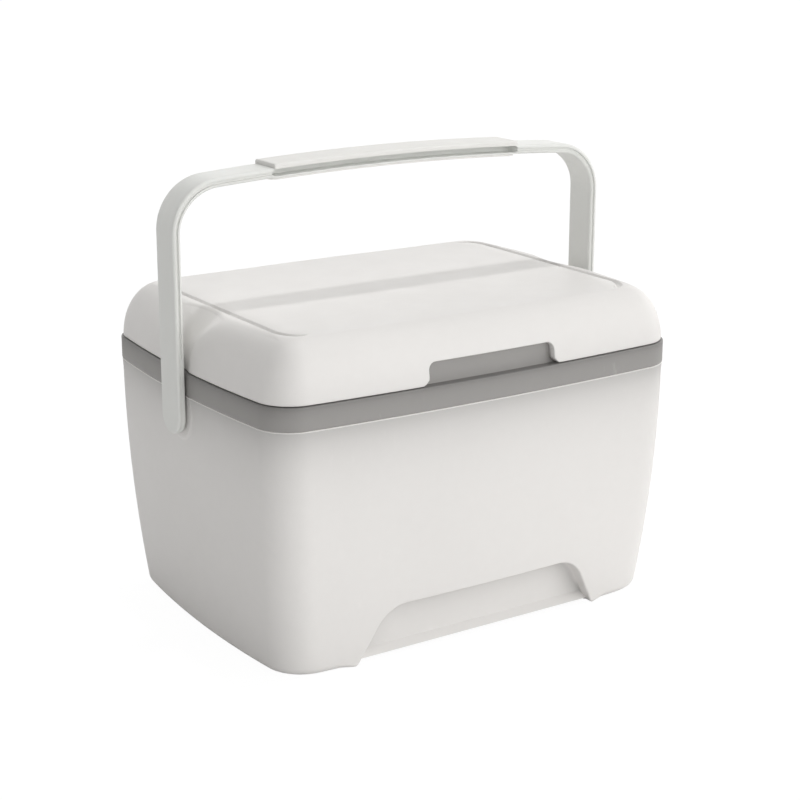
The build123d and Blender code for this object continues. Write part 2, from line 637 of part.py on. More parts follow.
# Grip cover, wrapped over the outer flange of the strap
with BuildPart() as grip_cover:
    bail_strip(-GRIP_COVER_THICKNESS, SLOT_FROM_OUTSIDE, PIVOT_HEIGHT, BAIL_WIDTH / 2 + GRIP_CHEEK)
    Box(2 * GRIP_HALF_LENGTH, 2 * BAIL_WIDTH, 3 * BAIL_TOP, mode=Mode.INTERSECT)
    crown = grip_cover.faces().sort_by(Axis.Z)[-1]
    fillet(crown.edges(), GRIP_TOP_FILLET)
    bail_strip(-GRIP_FIT, SLOT_FROM_OUTSIDE + OVERLAP, PIVOT_HEIGHT, BAIL_WIDTH / 2 + GRIP_FIT, Mode.SUBTRACT)
grip_cover.part.label = "grip_cover"

# Soft pad under the strap, where the fingers close
with BuildPart() as grip_pad:
    pad_top = BAIL_THICKNESS + GRIP_FIT
    bail_strip(pad_top, pad_top + GRIP_PAD_THICKNESS, PIVOT_HEIGHT, GRIP_PAD_WIDTH / 2)
    Box(2 * GRIP_PAD_HALF_LENGTH, 2 * BAIL_WIDTH, 3 * BAIL_TOP, mode=Mode.INTERSECT)
    fillet(grip_pad.faces().sort_by(Axis.Z)[0].edges(), GRIP_PAD_EDGE)
grip_pad.part.label = "grip_pad"

with BuildPart() as pivot_pin_left:
    add(pivot_pin(-1))
pivot_pin_left.part.label = "pivot_pin_left"

with BuildPart() as pivot_pin_right:
    add(pivot_pin(1))
pivot_pin_right.part.label = "pivot_pin_right"

with BuildPart() as pivot_washer_left:
    add(pivot_washer(-1))
pivot_washer_left.part.label = "pivot_washer_left"

with BuildPart() as pivot_washer_right:
    add(pivot_washer(1))
pivot_washer_right.part.label = "pivot_washer_right"

with BuildPart() as pivot_clip_left:
    add(pivot_clip(-1))
pivot_clip_left.part.label = "pivot_clip_left"

with BuildPart() as pivot_clip_right:
    add(pivot_clip(1))
pivot_clip_right.part.label = "pivot_clip_right"


# ---------------------------------------------------------------------------
# Ice packs along the front and rear of the tub, and the pad that lies on them
# ---------------------------------------------------------------------------


def ice_pack(side):
    """Return a flat bottle on its long edge: sunk panels on both faces and a neck on top."""
    with BuildPart() as pack:
        with Locations((0, side * (PACK_FROM_MIDDLE + PACK_THICKNESS / 2), PACK_FLOOR)):
            Box(PACK_LENGTH, PACK_THICKNESS, PACK_HEIGHT, align=TO_FLOOR)
        fillet(pack.edges(), PACK_EDGE)
        for face in (PACK_FROM_MIDDLE, PACK_FROM_MIDDLE + PACK_THICKNESS - PACK_PANEL_DEPTH):
            with BuildSketch(Plane.XZ.offset(-side * face)):
                with Locations((0, PACK_FLOOR + PACK_HEIGHT / 2)):
                    RectangleRounded(
                        PACK_LENGTH - 2 * PACK_PANEL_BORDER,
                        PACK_HEIGHT - 2 * PACK_PANEL_BORDER,
                        PACK_PANEL_CORNER,
                    )
            extrude(amount=-side * PACK_PANEL_DEPTH, mode=Mode.SUBTRACT)
        with Locations((0, side * (PACK_FROM_MIDDLE + PACK_THICKNESS / 2), CAP_BASE - LOOSE_GAP)):
            Cylinder(NECK_RADIUS, NECK_HEIGHT, align=TO_FLOOR)
    return pack.part


def ice_cap(side):
    """Return the screw cap of a pack, with grip flutes round it."""
    middle = side * (PACK_FROM_MIDDLE + PACK_THICKNESS / 2)
    with BuildPart() as cap:
        with Locations((0, middle, CAP_BASE)):
            Cylinder(CAP_RADIUS, CAP_HEIGHT, align=TO_FLOOR)
        chamfer(cap.edges().group_by(Axis.Z)[-1], CAP_RIB_DEPTH)
        with Locations((0, middle, CAP_BASE)):
            Cylinder(NECK_RADIUS + CAP_FIT, NECK_HEIGHT, align=TO_FLOOR, mode=Mode.SUBTRACT)
            with PolarLocations(CAP_RADIUS + CAP_RIB_DEPTH / 2, CAP_RIBS):
                Cylinder(CAP_FLUTE_RADIUS, CAP_HEIGHT, align=TO_FLOOR, mode=Mode.SUBTRACT)
    return cap.part


with BuildPart() as ice_pack_front:
    add(ice_pack(-1))
ice_pack_front.part.label = "ice_pack_front"

with BuildPart() as ice_pack_rear:
    add(ice_pack(1))
ice_pack_rear.part.label = "ice_pack_rear"

with BuildPart() as ice_cap_front:
    add(ice_cap(-1))
ice_cap_front.part.label = "ice_cap_front"

with BuildPart() as ice_cap_rear:
    add(ice_cap(1))
ice_cap_rear.part.label = "ice_cap_rear"

# Foam pad that closes the load space, with two rows of crossed slits for vials
with BuildPart() as foam_pad:
    tub_lean = TUB_DRAFT * (COLLAR_TOP - FOAM_PAD_BASE) / (COLLAR_TOP - TUB_FLOOR_HEIGHT)
    pad_inset = TUB_INSET + TUB_FIT + TUB_WALL + tub_lean + LOOSE_GAP
    plan_prism(FOAM_PAD_BASE, FOAM_PAD_BASE + FOAM_PAD_THICKNESS, pad_inset)
    fillet(foam_pad.edges().group_by(Axis.Z)[-1], FOAM_PAD_EDGE)
    with BuildSketch(Plane.XY.offset(FOAM_PAD_BASE)) as slits:
        with GridLocations(VIAL_SPACING, VIAL_SPACING, VIALS_PER_ROW, VIAL_ROWS):
            Rectangle(VIAL_SLIT_LENGTH, VIAL_SLIT_WIDTH)
            Rectangle(VIAL_SLIT_WIDTH, VIAL_SLIT_LENGTH)
    extrude(amount=FOAM_PAD_THICKNESS, mode=Mode.SUBTRACT)
foam_pad.part.label = "foam_pad"

os.makedirs("parts", exist_ok=True)
for piece in (
    outer_shell,
    rim_collar,
    inner_liner,
    body_insulation,
    lid_cover,
    lid_liner,
    lid_insulation,
    lid_gasket,
    handle_bail,
    grip_cover,
    grip_pad,
    pivot_pin_left,
    pivot_pin_right,
    pivot_washer_left,
    pivot_washer_right,
    pivot_clip_left,
    pivot_clip_right,
    ice_pack_front,
    ice_pack_rear,
    ice_cap_front,
    ice_cap_rear,
    foam_pad,
):
    export_step(piece.part, f"parts/{piece.part.label}.step")
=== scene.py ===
from math import atan2, cos, pi, radians, sqrt

import bmesh
import bpy
import numpy as np
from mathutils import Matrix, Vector


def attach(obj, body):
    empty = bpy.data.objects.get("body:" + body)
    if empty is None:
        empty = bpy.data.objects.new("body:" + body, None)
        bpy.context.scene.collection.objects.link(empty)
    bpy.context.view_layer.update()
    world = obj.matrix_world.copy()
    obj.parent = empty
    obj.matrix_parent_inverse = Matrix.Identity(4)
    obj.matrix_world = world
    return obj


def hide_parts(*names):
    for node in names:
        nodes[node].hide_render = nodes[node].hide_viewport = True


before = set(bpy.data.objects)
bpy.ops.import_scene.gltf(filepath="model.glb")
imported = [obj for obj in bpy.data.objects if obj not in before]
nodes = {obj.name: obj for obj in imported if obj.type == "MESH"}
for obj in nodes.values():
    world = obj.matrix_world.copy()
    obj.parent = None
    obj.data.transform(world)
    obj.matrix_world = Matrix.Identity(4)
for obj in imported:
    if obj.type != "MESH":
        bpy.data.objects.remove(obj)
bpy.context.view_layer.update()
scene = bpy.context.scene

# ---------------------------------------------------------------------------
# Outer shell: one white polypropylene moulding. Its crowned walls taper to the
# floor, the front and rear foot are hollowed for the fingers, and a raised pad
# on each end carries the bail.
# ---------------------------------------------------------------------------
RIM_HALF_X = 0.160
RIM_HALF_Y = 0.1204
CROWN_FRONT = 0.006
CROWN_END = 0.0073
CORNER_RADIUS = 0.025
BAND_BASE = 0.1635
COLLAR_TOP = 0.1785

NECK_INSET = 0.0031
NECK_TOP = 0.1752
WALL_INSET_TOP = 0.00046
WALL_INSET_FLOOR = 0.0104
WALL_FLARE = 0.00036
WALL_FLARE_HEIGHT = 0.0105
SHELL_TOP_ROUND = 0.0005
SHELL_WALL = 0.0024
FLOOR_ROUND = 0.006
FLOOR_X = 0.1228
SQUARE_FROM = 0.1

RECESS_TOP = 0.0375
RECESS_HALF_TOP = 0.074
RECESS_HALF_FLOOR = 0.094
RECESS_CORNER = 0.024
RECESS_FOOT_CORNER = 0.0025
RECESS_BACK = 0.0994
RECESS_LIP = 0.0012
RECESS_LIP_BLEND = 0.012
RECESS_INNER_ROUND = 0.0035
INNER_ROUND_FROM = 0.008
INNER_ROUND_BLEND = 0.012
# Painted shade in the recess: how much darker, how soon it fades from the arch, and how far in
# front of the back wall it reaches.
RECESS_SHADE = 0.28
RECESS_SHADE_RUN = 0.012
RECESS_SHADE_DEEP = 0.002
LEDGE_TOP = 0.0073
LEDGE_RUN = 0.0045
UNDERSIDE_RISE = 0.003
UNDERSIDE_LINE = 0.094

PIVOT_HEIGHT = 0.1497
PAD_RADIUS = 0.0155
PAD_FLARE = 0.0015
PAD_LOWEST = 0.1
PAD_DEEPEST = 0.0015
PAD_COLUMNS = (0.19, 0.1)
PAD_ROWS = (0.021, 0.032)

SAME_POINT = 0.00002
NO_AREA = 0.000005
HAIR = 0.00001
CREASE = radians(40)
NO_SHADE = (0, 0, 0.01)


def smooth_step(value):
    """0 below 0 and 1 above 1, with an S curve between: 3 v squared less 2 v cubed."""
    value = np.clip(value, 0, 1)
    return value * value * (3 - 2 * value)


def plan_loop(front, corner, end):
    """The columns of a closed grid, once round the plan from the front middle. One quarter gives
    shares of the front side, of the corner's turn and of the end side (which run back to 0 at the
    end's middle). Returns part (0 front, 1 corner, 2 end), share, and the signs of x and y."""
    part = np.concatenate([0 * front, 0 * corner + 1, 0 * end + 2])
    share = np.concatenate([front, corner, end])
    quarter = np.arange(len(share))
    order = [quarter, quarter[-2::-1], quarter[1:], quarter[-2:0:-1]]
    x_sign = np.concatenate([0.0 * q + s for q, s in zip(order, (1, 1, -1, -1))])
    y_sign = np.concatenate([0.0 * q + s for q, s in zip(order, (-1, 1, 1, -1))])
    index = np.concatenate(order)
    return part[index], share[index], x_sign, y_sign


def plan_points(loop, inset, corner, front_x=None):
    """The box's crowned outline at a distance behind the face of the band. Its front and end sides
    are arcs through their two ends and their bowed middle. The corner circle touches both from
    inside, so its centre is as far from each arc's centre as their radii differ. A point is its
    share along the front's x, round the corner, or along the end's y; front_x gives x instead."""
    part, share, x_sign, y_sign = loop
    half_x = RIM_HALF_X - inset
    half_y = RIM_HALF_Y - inset
    front = ((half_x - CROWN_END) ** 2 + CROWN_FRONT**2) / (2 * CROWN_FRONT)
    end = ((half_y - CROWN_FRONT) ** 2 + CROWN_END**2) / (2 * CROWN_END)
    down = front - half_y
    left = end - half_x
    span = np.hypot(left, down)
    along = ((front - corner) ** 2 - (end - corner) ** 2 + span**2) / (2 * span)
    aside = np.sqrt((front - corner) ** 2 - along**2)
    corner_x = (aside * down - along * left) / span
    corner_y = (along * down + aside * left) / span - down
    touch_x = corner_x * front / (front - corner)
    touch_y = corner_y * end / (end - corner)
    first = np.arctan2(corner_y + down, corner_x)
    last = np.arctan2(corner_y, corner_x + left)
    x = share * touch_x if front_x is None else front_x
    turn = first + (last - first) * share
    y = share * touch_y
    front_y = np.sqrt(front**2 - np.minimum(x, touch_x) ** 2) - down
    end_x = np.sqrt(end**2 - y**2) - left
    x = np.select([part == 0, part == 1], [x, corner_x + corner * np.cos(turn)], end_x)
    y = np.select([part == 0, part == 1], [front_y, corner_y + corner * np.sin(turn)], y)
    return x_sign * x, y_sign * y


def front_reach(inset, corner):
    """Where the front side of the outline ends and its corner starts, from the middle."""
    ones = np.ones_like(inset)
    return plan_points((0 * ones, ones, ones, ones), inset, corner)[0]


def corner_arc(before, corner, after, radius, count):
    """Points of the arc that rounds a corner between two straight runs. It starts its radius
    divided by the tangent of half the inside angle away from the corner."""
    a = (before - corner) / np.linalg.norm(before - corner)
    b = (after - corner) / np.linalg.norm(after - corner)
    half = np.arccos(np.clip(a @ b, -1, 1)) / 2
    middle = corner + (a + b) / np.linalg.norm(a + b) * radius / np.sin(half)
    start = corner + a * radius / np.tan(half) - middle
    end = corner + b * radius / np.tan(half) - middle
    share = np.linspace(0, 1, count)[:, None]
    turn = pi - 2 * half
    return middle + (np.sin((1 - share) * turn) * start + np.sin(share * turn) * end) / np.sin(turn)


def rounded_path(corners, radii, count):
    """Evenly spaced points along straight runs joined by arcs, and their left-hand normals."""
    corners = np.array(corners, float)
    pieces = [corners[:1]]
    for before, corner, after, radius in zip(corners, corners[1:], corners[2:], radii):
        pieces.append(corner_arc(before, corner, after, radius, 32))
    dense = np.concatenate(pieces + [corners[-1:]])
    length = np.concatenate([[0], np.cumsum(np.linalg.norm(np.diff(dense, axis=0), axis=1))])
    at = np.linspace(0, length[-1], count)
    points = np.stack([np.interp(at, length, dense[:, k]) for k in (0, 1)], axis=1)
    along = np.gradient(points, axis=0)
    along /= np.linalg.norm(along, axis=1)[:, None]
    return points, np.stack([-along[:, 1], along[:, 0]], axis=1)


def moulding(name, grids, wall=0.0):
    """One mesh from grids of points, each with a flag that closes its rows into loops. Points that
    meet are merged, faces turned outwards, sharp edges kept crisp, and a wall thickness laid inside
    where one is given."""
    vertices = np.concatenate([points.reshape(-1, 3) for points, closed in grids])
    faces = []
    start = 0
    for points, closed in grids:
        rows, columns = points.shape[:2]
        index = np.arange(start, start + rows * columns).reshape(rows, columns)
        start += rows * columns
        if closed:
            index = np.concatenate([index, index[:, :1]], axis=1)
        quads = np.stack([index[:-1, :-1], index[:-1, 1:], index[1:, 1:], index[1:, :-1]], axis=-1)
        faces.append(quads.reshape(-1, 4))
    mesh = bpy.data.meshes.new(name)
    mesh.from_pydata(vertices.tolist(), [], np.concatenate(faces).tolist())
    shape = bmesh.new()
    shape.from_mesh(mesh)
    bmesh.ops.remove_doubles(shape, verts=shape.verts, dist=SAME_POINT)
    bmesh.ops.dissolve_degenerate(shape, dist=NO_AREA, edges=shape.edges)
    bmesh.ops.delete(shape, geom=[v for v in shape.verts if not v.link_faces], context="VERTS")
    bmesh.ops.recalc_face_normals(shape, faces=shape.faces)
    shape.to_mesh(mesh)
    shape.free()
    mesh.shade_smooth()
    mesh.set_sharp_from_angle(angle=CREASE)
    piece = bpy.data.objects.new(name, mesh)
    scene.collection.objects.link(piece)
    if wall:
        solidify = piece.modifiers.new("wall", "SOLIDIFY")
        solidify.thickness = wall
        solidify.offset = -1
    return piece


def wall_inset(height):
    """How far the wall stands behind the band: a parabola of the depth below it, less a small flare
    that brings the wall out to meet the band."""
    down = (BAND_BASE - height) / BAND_BASE
    flare = np.clip(1 - (BAND_BASE - height) / WALL_FLARE_HEIGHT, 0, 1) ** 2
    return WALL_INSET_TOP + (WALL_INSET_FLOOR - WALL_INSET_TOP) * down**2 - WALL_FLARE * flare


def pivot_pad(points):
    """Brings the end walls out to the pivot pads: full out inside a tongue that hangs from the band
    round the pivot, and back to the wall by an S curve over the flare beyond it."""
    below = np.minimum(points[..., 2] - PIVOT_HEIGHT, 0)
    outside = np.hypot(points[..., 1], below) - PAD_RADIUS
    share = smooth_step(1 - outside / PAD_FLARE) * (points[..., 2] > PAD_LOWEST)
    face = np.sign(points[..., 0]) * RIM_HALF_X
    on_end = np.abs(points[..., 0]) > RIM_HALF_X - PAD_DEEPEST
    points[..., 0] += np.where(on_end, (face - points[..., 0]) * share, 0)
    return points


def recess_edge(count):
    """The arch of the recess from its middle to its foot, and on under the wall to the corner."""
    arch = [
        (0, RECESS_TOP),
        (RECESS_HALF_TOP, RECESS_TOP),
        (RECESS_HALF_FLOOR, 0),
        (FLOOR_X, 0),
    ]
    return rounded_path(arch, (RECESS_CORNER, RECESS_FOOT_CORNER), count)


def outer_shell_rows():
    """Rows run down the neck and the wall, round its lower edge and inwards. In the front and rear
    that edge is the arch of the recess: the rows go on over its side, its back wall and ledge. The
    rows and the end columns lie closer where they cross the flare of the pivot pads. Returns the
    rows, and a grid that closes the underside."""
    fronts = 72
    edge, normal = recess_edge(fronts)
    far, near = PAD_COLUMNS
    end = np.concatenate(
        [np.linspace(1, far, 13), np.linspace(far, near, 12)[1:], np.linspace(near, 0, 7)[1:]]
    )
    loop = plan_loop(np.linspace(0, 1, fronts), np.linspace(0, 1, 18)[1:-1], end)
    part, share, x_sign, y_sign = loop
    quarter_x = np.round(share * (fronts - 1)).astype(int)
    front = part == 0
    edge = np.where(front[:, None], edge[quarter_x], [[FLOOR_X, 0]])
    normal = np.where(front[:, None], normal[quarter_x], [[0, 1]])
    top_x = share * FLOOR_X
    past_recess = smooth_step((edge[:, 0] - RECESS_HALF_FLOOR) / RECESS_LIP_BLEND)
    lip = np.where(front, RECESS_LIP + (FLOOR_ROUND - RECESS_LIP) * past_recess, FLOOR_ROUND)
    square = np.where(front, smooth_step((edge[:, 0] - SQUARE_FROM) / (FLOOR_X - SQUARE_FROM)), 1)

    def wall_row(x, height, inward):
        """Points of the wall at distances from the middle and heights, moved inwards: straight
        back in the recess, and square to the outline at the corners and ends."""
        inset = wall_inset(height) + square * inward
        reach = front_reach(inset, CORNER_RADIUS)
        grown = smooth_step((x - SQUARE_FROM) / (FLOOR_X - SQUARE_FROM))
        spread_x = x * (1 + grown * (reach / FLOOR_X - 1))
        row_x, row_y = plan_points(loop, inset, CORNER_RADIUS, spread_x)
        return np.stack([row_x, row_y - y_sign * (1 - square) * inward, height + 0 * x], axis=-1)

    rows = []
    collar = BAND_BASE - SHELL_TOP_ROUND
    for inset, height in [(NECK_INSET, NECK_TOP), (NECK_INSET, BAND_BASE)]:
        rows.append(wall_row(top_x, 0 * share + height, inset - wall_inset(BAND_BASE)))
    for turn in np.linspace(0, pi / 2, 5):
        inward = SHELL_TOP_ROUND * (1 - np.sin(turn))
        rows.append(wall_row(top_x, 0 * share + collar + SHELL_TOP_ROUND * np.cos(turn), inward))
    start = edge + lip[:, None] * normal
    first, last = PAD_ROWS
    drop = np.concatenate([np.linspace(0, first, 14)[1:], np.linspace(first, last, 15)[1:]])
    down = np.concatenate([drop / collar, np.linspace(last / collar, 1, 19)[1:]])
    for part_down in down:
        x = top_x + (start[:, 0] - top_x) * smooth_step(part_down)
        rows.append(wall_row(x, collar + (start[:, 1] - collar) * part_down, 0 * x))
    for turn in np.linspace(0, pi / 2, 9)[1:]:
        around = edge + (lip * (1 - np.sin(turn)))[:, None] * normal
        rows.append(wall_row(around[:, 0], around[:, 1], lip * (1 - np.cos(turn))))

    hollow = front & (edge[:, 1] > HAIR)
    run = np.clip((LEDGE_TOP - edge[:, 1]) / (LEDGE_TOP - UNDERSIDE_RISE), 0, 1)
    back = RECESS_BACK + LEDGE_RUN * run
    rounded = smooth_step((edge[:, 1] - INNER_ROUND_FROM) / INNER_ROUND_BLEND) * hollow
    soft = RECESS_INNER_ROUND * rounded
    flat_x = np.where(front, edge[:, 0], FLOOR_X)
    flat_y = np.where(part == 2, share, 1) * UNDERSIDE_LINE
    reach = np.where(hollow, back + soft, flat_y)
    target = np.stack([x_sign * flat_x, y_sign * reach, edge[:, 1] * hollow], axis=-1)
    lower_edge = rows[-1]
    for part_in in (0.2, 0.4, 0.6, 0.8, 1):
        rows.append(lower_edge + (target - lower_edge) * part_in)
    for turn in np.linspace(0, pi / 2, 8)[1:]:
        shift = (soft * (1 - np.cos(turn)))[:, None] * normal
        y = np.where(hollow, back + soft * (1 - np.sin(turn)), flat_y)
        height = (edge[:, 1] - shift[:, 1]) * hollow
        rows.append(np.stack([x_sign * (flat_x - shift[:, 0]), y_sign * y, height], axis=-1))
    inner = rows[-1]
    ledge = np.minimum(inner[:, 2], LEDGE_TOP)
    low = np.minimum(inner[:, 2], UNDERSIDE_RISE)
    levels = [inner[:, 2] + (ledge - inner[:, 2]) * s for s in (0.25, 0.5, 0.75, 1)]
    levels += [ledge + (low - ledge) * s for s in (0.33, 0.66, 1)]
    for height in levels:
        run = np.clip((LEDGE_TOP - height) / (LEDGE_TOP - UNDERSIDE_RISE), 0, 1)
        y = np.where(hollow, RECESS_BACK + LEDGE_RUN * run, np.abs(inner[:, 1]))
        rows.append(np.stack([inner[:, 0], y_sign * y, height], axis=-1))
    ring = rows[-1].copy()
    ring[:, 1] = y_sign * flat_y
    rows.append(ring)

    bottom = ring[front & (y_sign < 0)]
    bottom = bottom[np.argsort(bottom[:, 0])]
    lines = np.concatenate([-end, end[-2::-1]]) * UNDERSIDE_LINE
    under = np.tile(bottom, (len(lines), 1, 1))
    under[:, :, 1] = lines[:, None]
    return pivot_pad(np.stack(rows)), under


def moulded_surface():
    """Shared look of the mouldings. Broad noise clouds the colour and middle noise the gloss, fine
    noise gives the skin its grain, drawn-out noise lays faint rubs, and edges are a little paler.
    Under the shade's top the colour is painted darker, a painted shade whose share fades
    exponentially with depth."""
    group = bpy.data.node_groups.new("moulded_surface", "ShaderNodeTree")
    sockets = group.interface
    sockets.new_socket("Colour", in_out="INPUT", socket_type="NodeSocketColor")
    for name in ("Roughness", "Cloud", "Grain", "Relief", "Wear"):
        sockets.new_socket(name, in_out="INPUT", socket_type="NodeSocketFloat")
    for name in ("Shade", "Shade top", "Shade depth"):
        sockets.new_socket(name, in_out="INPUT", socket_type="NodeSocketFloat")
    sockets.new_socket("Colour", in_out="OUTPUT", socket_type="NodeSocketColor")
    sockets.new_socket("Roughness", in_out="OUTPUT", socket_type="NodeSocketFloat")
    sockets.new_socket("Normal", in_out="OUTPUT", socket_type="NodeSocketVector")
    made = group.nodes
    link = group.links.new
    given = made.new("NodeGroupInput").outputs
    result = made.new("NodeGroupOutput").inputs
    place = made.new("ShaderNodeTexCoord").outputs["Object"]

    def noise(scale, detail, where=place):
        """Smooth noise from 0 to 1 at a scale that is a number or a socket."""
        node = made.new("ShaderNodeTexNoise")
        node.inputs["Detail"].default_value = detail
        link(where, node.inputs["Vector"])
        if isinstance(scale, (int, float)):
            node.inputs["Scale"].default_value = scale
        else:
            link(scale, node.inputs["Scale"])
        return node.outputs["Fac"]

    def spread(value, low, high, to_low, to_high):
        """A value carried from one range over to another and held at its ends."""
        node = made.new("ShaderNodeMapRange")
        for socket, number in zip(node.inputs[1:5], (low, high, to_low, to_high)):
            socket.default_value = number
        link(value, node.inputs["Value"])
        return node.outputs["Result"]

    def maths(operation, *values):
        """The result of one operation on numbers or sockets."""
        node = made.new("ShaderNodeMath")
        node.operation = operation
        for socket, value in zip(node.inputs, values):
            if isinstance(value, (int, float)):
                socket.default_value = value
            else:
                link(value, socket)
        return node.outputs["Value"]

    drawn = made.new("ShaderNodeMapping")
    drawn.inputs["Rotation"].default_value = (0.5, 0.3, 0.8)
    drawn.inputs["Scale"].default_value = (260, 22, 90)
    link(place, drawn.inputs["Vector"])
    rub = spread(noise(1.0, 2.0, drawn.outputs["Vector"]), 0.62, 0.78, 0, 1)
    patch = spread(noise(14.0, 2.0), 0.5, 0.68, 0, 1)
    rub = maths("MULTIPLY", rub, patch)
    edge = spread(made.new("ShaderNodeNewGeometry").outputs["Pointiness"], 0.53, 0.62, 0, 1)
    edge = maths("MULTIPLY", edge, noise(120.0, 2.0))
    wear = maths("MULTIPLY", maths("MAXIMUM", edge, maths("MULTIPLY", rub, 0.35)), given["Wear"])

    cloud = maths("ADD", noise(9.0, 3.0), maths("MULTIPLY", noise(160.0, 3.0), 0.5))
    cloud = maths("MULTIPLY", maths("SUBTRACT", cloud, 0.75), given["Cloud"])
    # Painted shade: below the shade's top the colour is darkened by a share that fades
    # exponentially with depth.
    height = made.new("ShaderNodeSeparateXYZ")
    link(place, height.inputs[0])
    below = maths("SUBTRACT", given["Shade top"], height.outputs["Z"])
    depths = maths("DIVIDE", below, maths("MULTIPLY", given["Shade depth"], -1))
    painted_shade_fade = maths("MULTIPLY", maths("EXPONENT", depths), maths("GREATER_THAN", below, -HAIR))
    kept = maths("SUBTRACT", 1, maths("MULTIPLY", painted_shade_fade, given["Shade"]))
    tone = maths("MULTIPLY", maths("ADD", cloud, 1.0), kept)
    toned = made.new("ShaderNodeVectorMath")
    toned.operation = "SCALE"
    link(given["Colour"], toned.inputs[0])
    link(tone, toned.inputs["Scale"])
    worn = made.new("ShaderNodeMix")
    worn.data_type = "RGBA"
    worn.inputs[7].default_value = (0.9, 0.89, 0.87, 1)
    link(wear, worn.inputs[0])
    link(toned.outputs[0], worn.inputs[6])
    link(worn.outputs[2], result["Colour"])

    patchy = spread(noise(55.0, 4.0), 0.3, 0.7, -0.06, 0.06)
    rough = maths("ADD", maths("ADD", given["Roughness"], patchy), maths("MULTIPLY", rub, 0.12))
    link(rough, result["Roughness"])
    bump = made.new("ShaderNodeBump")
    bump.inputs["Distance"].default_value = 0.0001
    link(given["Relief"], bump.inputs["Strength"])
    link(noise(given["Grain"], 2.0), bump.inputs["Height"])
    link(bump.outputs["Normal"], result["Normal"])
    return group


def finish(
    name, colour, roughness, cloud=0.05, grain=900.0, relief=0.25, wear=0.3, shade=NO_SHADE
):
    """A material on the shared moulded surface. The colour is written as display values 0 to 255.
    A shade is painted shade: how much darker the colour is painted below an edge, that edge's
    height and how soon it fades."""
    material = bpy.data.materials.new(name)
    material.use_nodes = True
    shader = material.node_tree.nodes["Principled BSDF"]
    surface = material.node_tree.nodes.new("ShaderNodeGroup")
    surface.node_tree = moulded
    display = np.array(colour) / 255
    linear = np.where(display > 0.04045, ((display + 0.055) / 1.055) ** 2.4, display / 12.92)
    surface.inputs["Colour"].default_value = (*linear, 1)
    for socket, value in zip(surface.inputs[1:], (roughness, cloud, grain, relief, wear, *shade)):
        socket.default_value = value
    link = material.node_tree.links.new
    link(surface.outputs["Colour"], shader.inputs["Base Color"])
    link(surface.outputs["Roughness"], shader.inputs["Roughness"])
    link(surface.outputs["Normal"], shader.inputs["Normal"])
    return material


def dress(material, *pieces):
    """Gives pieces, or carried-over nodes by name, a material in every slot of the object."""
    for piece in pieces:
        thing = nodes[piece] if isinstance(piece, str) else piece
        if not thing.data.materials:
            thing.data.materials.append(material)
        for slot in thing.material_slots:
            slot.link = "OBJECT"
            slot.material = material


def paint_shade_in_recess(piece, material):
    """Paints shade on the back of the recess by a mask that the mesh carries. The mask is 1 under
    the arch and fades with the distance from it, and in front of the back wall it fades out."""
    mesh = piece.data
    place = np.array([vertex.co for vertex in mesh.vertices])
    out, aside, height = np.abs(place).T
    edge = recess_edge(90)[0]
    away = np.hypot(out[:, None] - edge[:, 0], height[:, None] - edge[:, 1]).min(axis=1)
    hollow = (out < RECESS_HALF_FLOOR) & (height < RECESS_TOP)
    near_back = np.clip(1 - (aside - RECESS_BACK) / RECESS_SHADE_DEEP, 0, 1) * hollow
    mask = mesh.attributes.new("recess", "FLOAT", "POINT")
    mask.data.foreach_set("value", near_back * np.exp(-away / RECESS_SHADE_RUN))
    made = material.node_tree.nodes
    link = material.node_tree.links.new
    carried = made.new("ShaderNodeAttribute")
    carried.attribute_name = "recess"
    kept = made.new("ShaderNodeMath")
    kept.operation = "MULTIPLY_ADD"
    kept.inputs[1].default_value = -RECESS_SHADE
    kept.inputs[2].default_value = 1
    link(carried.outputs["Fac"], kept.inputs[0])
    toned = made.new("ShaderNodeVectorMath")
    toned.operation = "SCALE"
    base = made["Principled BSDF"].inputs["Base Color"]
    link(base.links[0].from_socket, toned.inputs[0])
    link(kept.outputs[0], toned.inputs["Scale"])
    link(toned.outputs[0], base)


moulded = moulded_surface()
white_shell = finish("white_polypropylene", (229, 227, 225), 0.52)
# Painted shade: the wall's colour is painted darker just under the band, fading downwards; a thin
# strip right under the band is left unshaded so it reads as a bright bead.
painted_shade_under_band = (0.36, BAND_BASE - 0.0007, 0.016)
painted_shade_wall = finish("white_polypropylene_wall_painted_shade", (230, 228, 226), 0.52, shade=painted_shade_under_band)
shell_rows, shell_under = outer_shell_rows()
outer_shell = moulding(
    "shell_moulding", [(shell_rows, True), (shell_under, False)], wall=SHELL_WALL
)
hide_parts("outer_shell")
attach(outer_shell, "base")
dress(painted_shade_wall, outer_shell)
paint_shade_in_recess(outer_shell, painted_shade_wall)

# ---------------------------------------------------------------------------
# Rim collar: a band of grey polypropylene snapped over the neck of the shell. Its
# raised lip shows in the finger notch and drops to a stub where the arms pass.
# ---------------------------------------------------------------------------
BAND_EDGE = 0.0008
BAND_WALL = 0.0028
LIP_OUTER = 0.0072
LIP_INNER = 0.010
LIP_TOP = 0.1945
LIP_EDGE = 0.0008
LIP_ROOT = 0.0006
LIP_STUB = 0.181
STUB_SHARE = 0.315
STUB_STEP = 0.001
REBATE_INSET = 0.016
REBATE_BASE = 0.177
REBATE_EDGE = 0.0002
MOUTH_INSET = 0.024
MOUTH_EDGE = 0.0003
MOUTH_CORNER = 0.018
PLATE_BASE = 0.1755


def soft_corners(profile, radii):
    """A closed profile of (inset, height) with each corner turned into an arc of its own radius."""
    profile = np.array(profile, float)
    pieces = []
    for before, corner, after, radius in zip(
        np.roll(profile, 1, axis=0), profile, np.roll(profile, -1, axis=0), radii
    ):
        pieces.append(corner_arc(before, corner, after, radius, 5) if radius else corner[None])
    return np.concatenate(pieces)


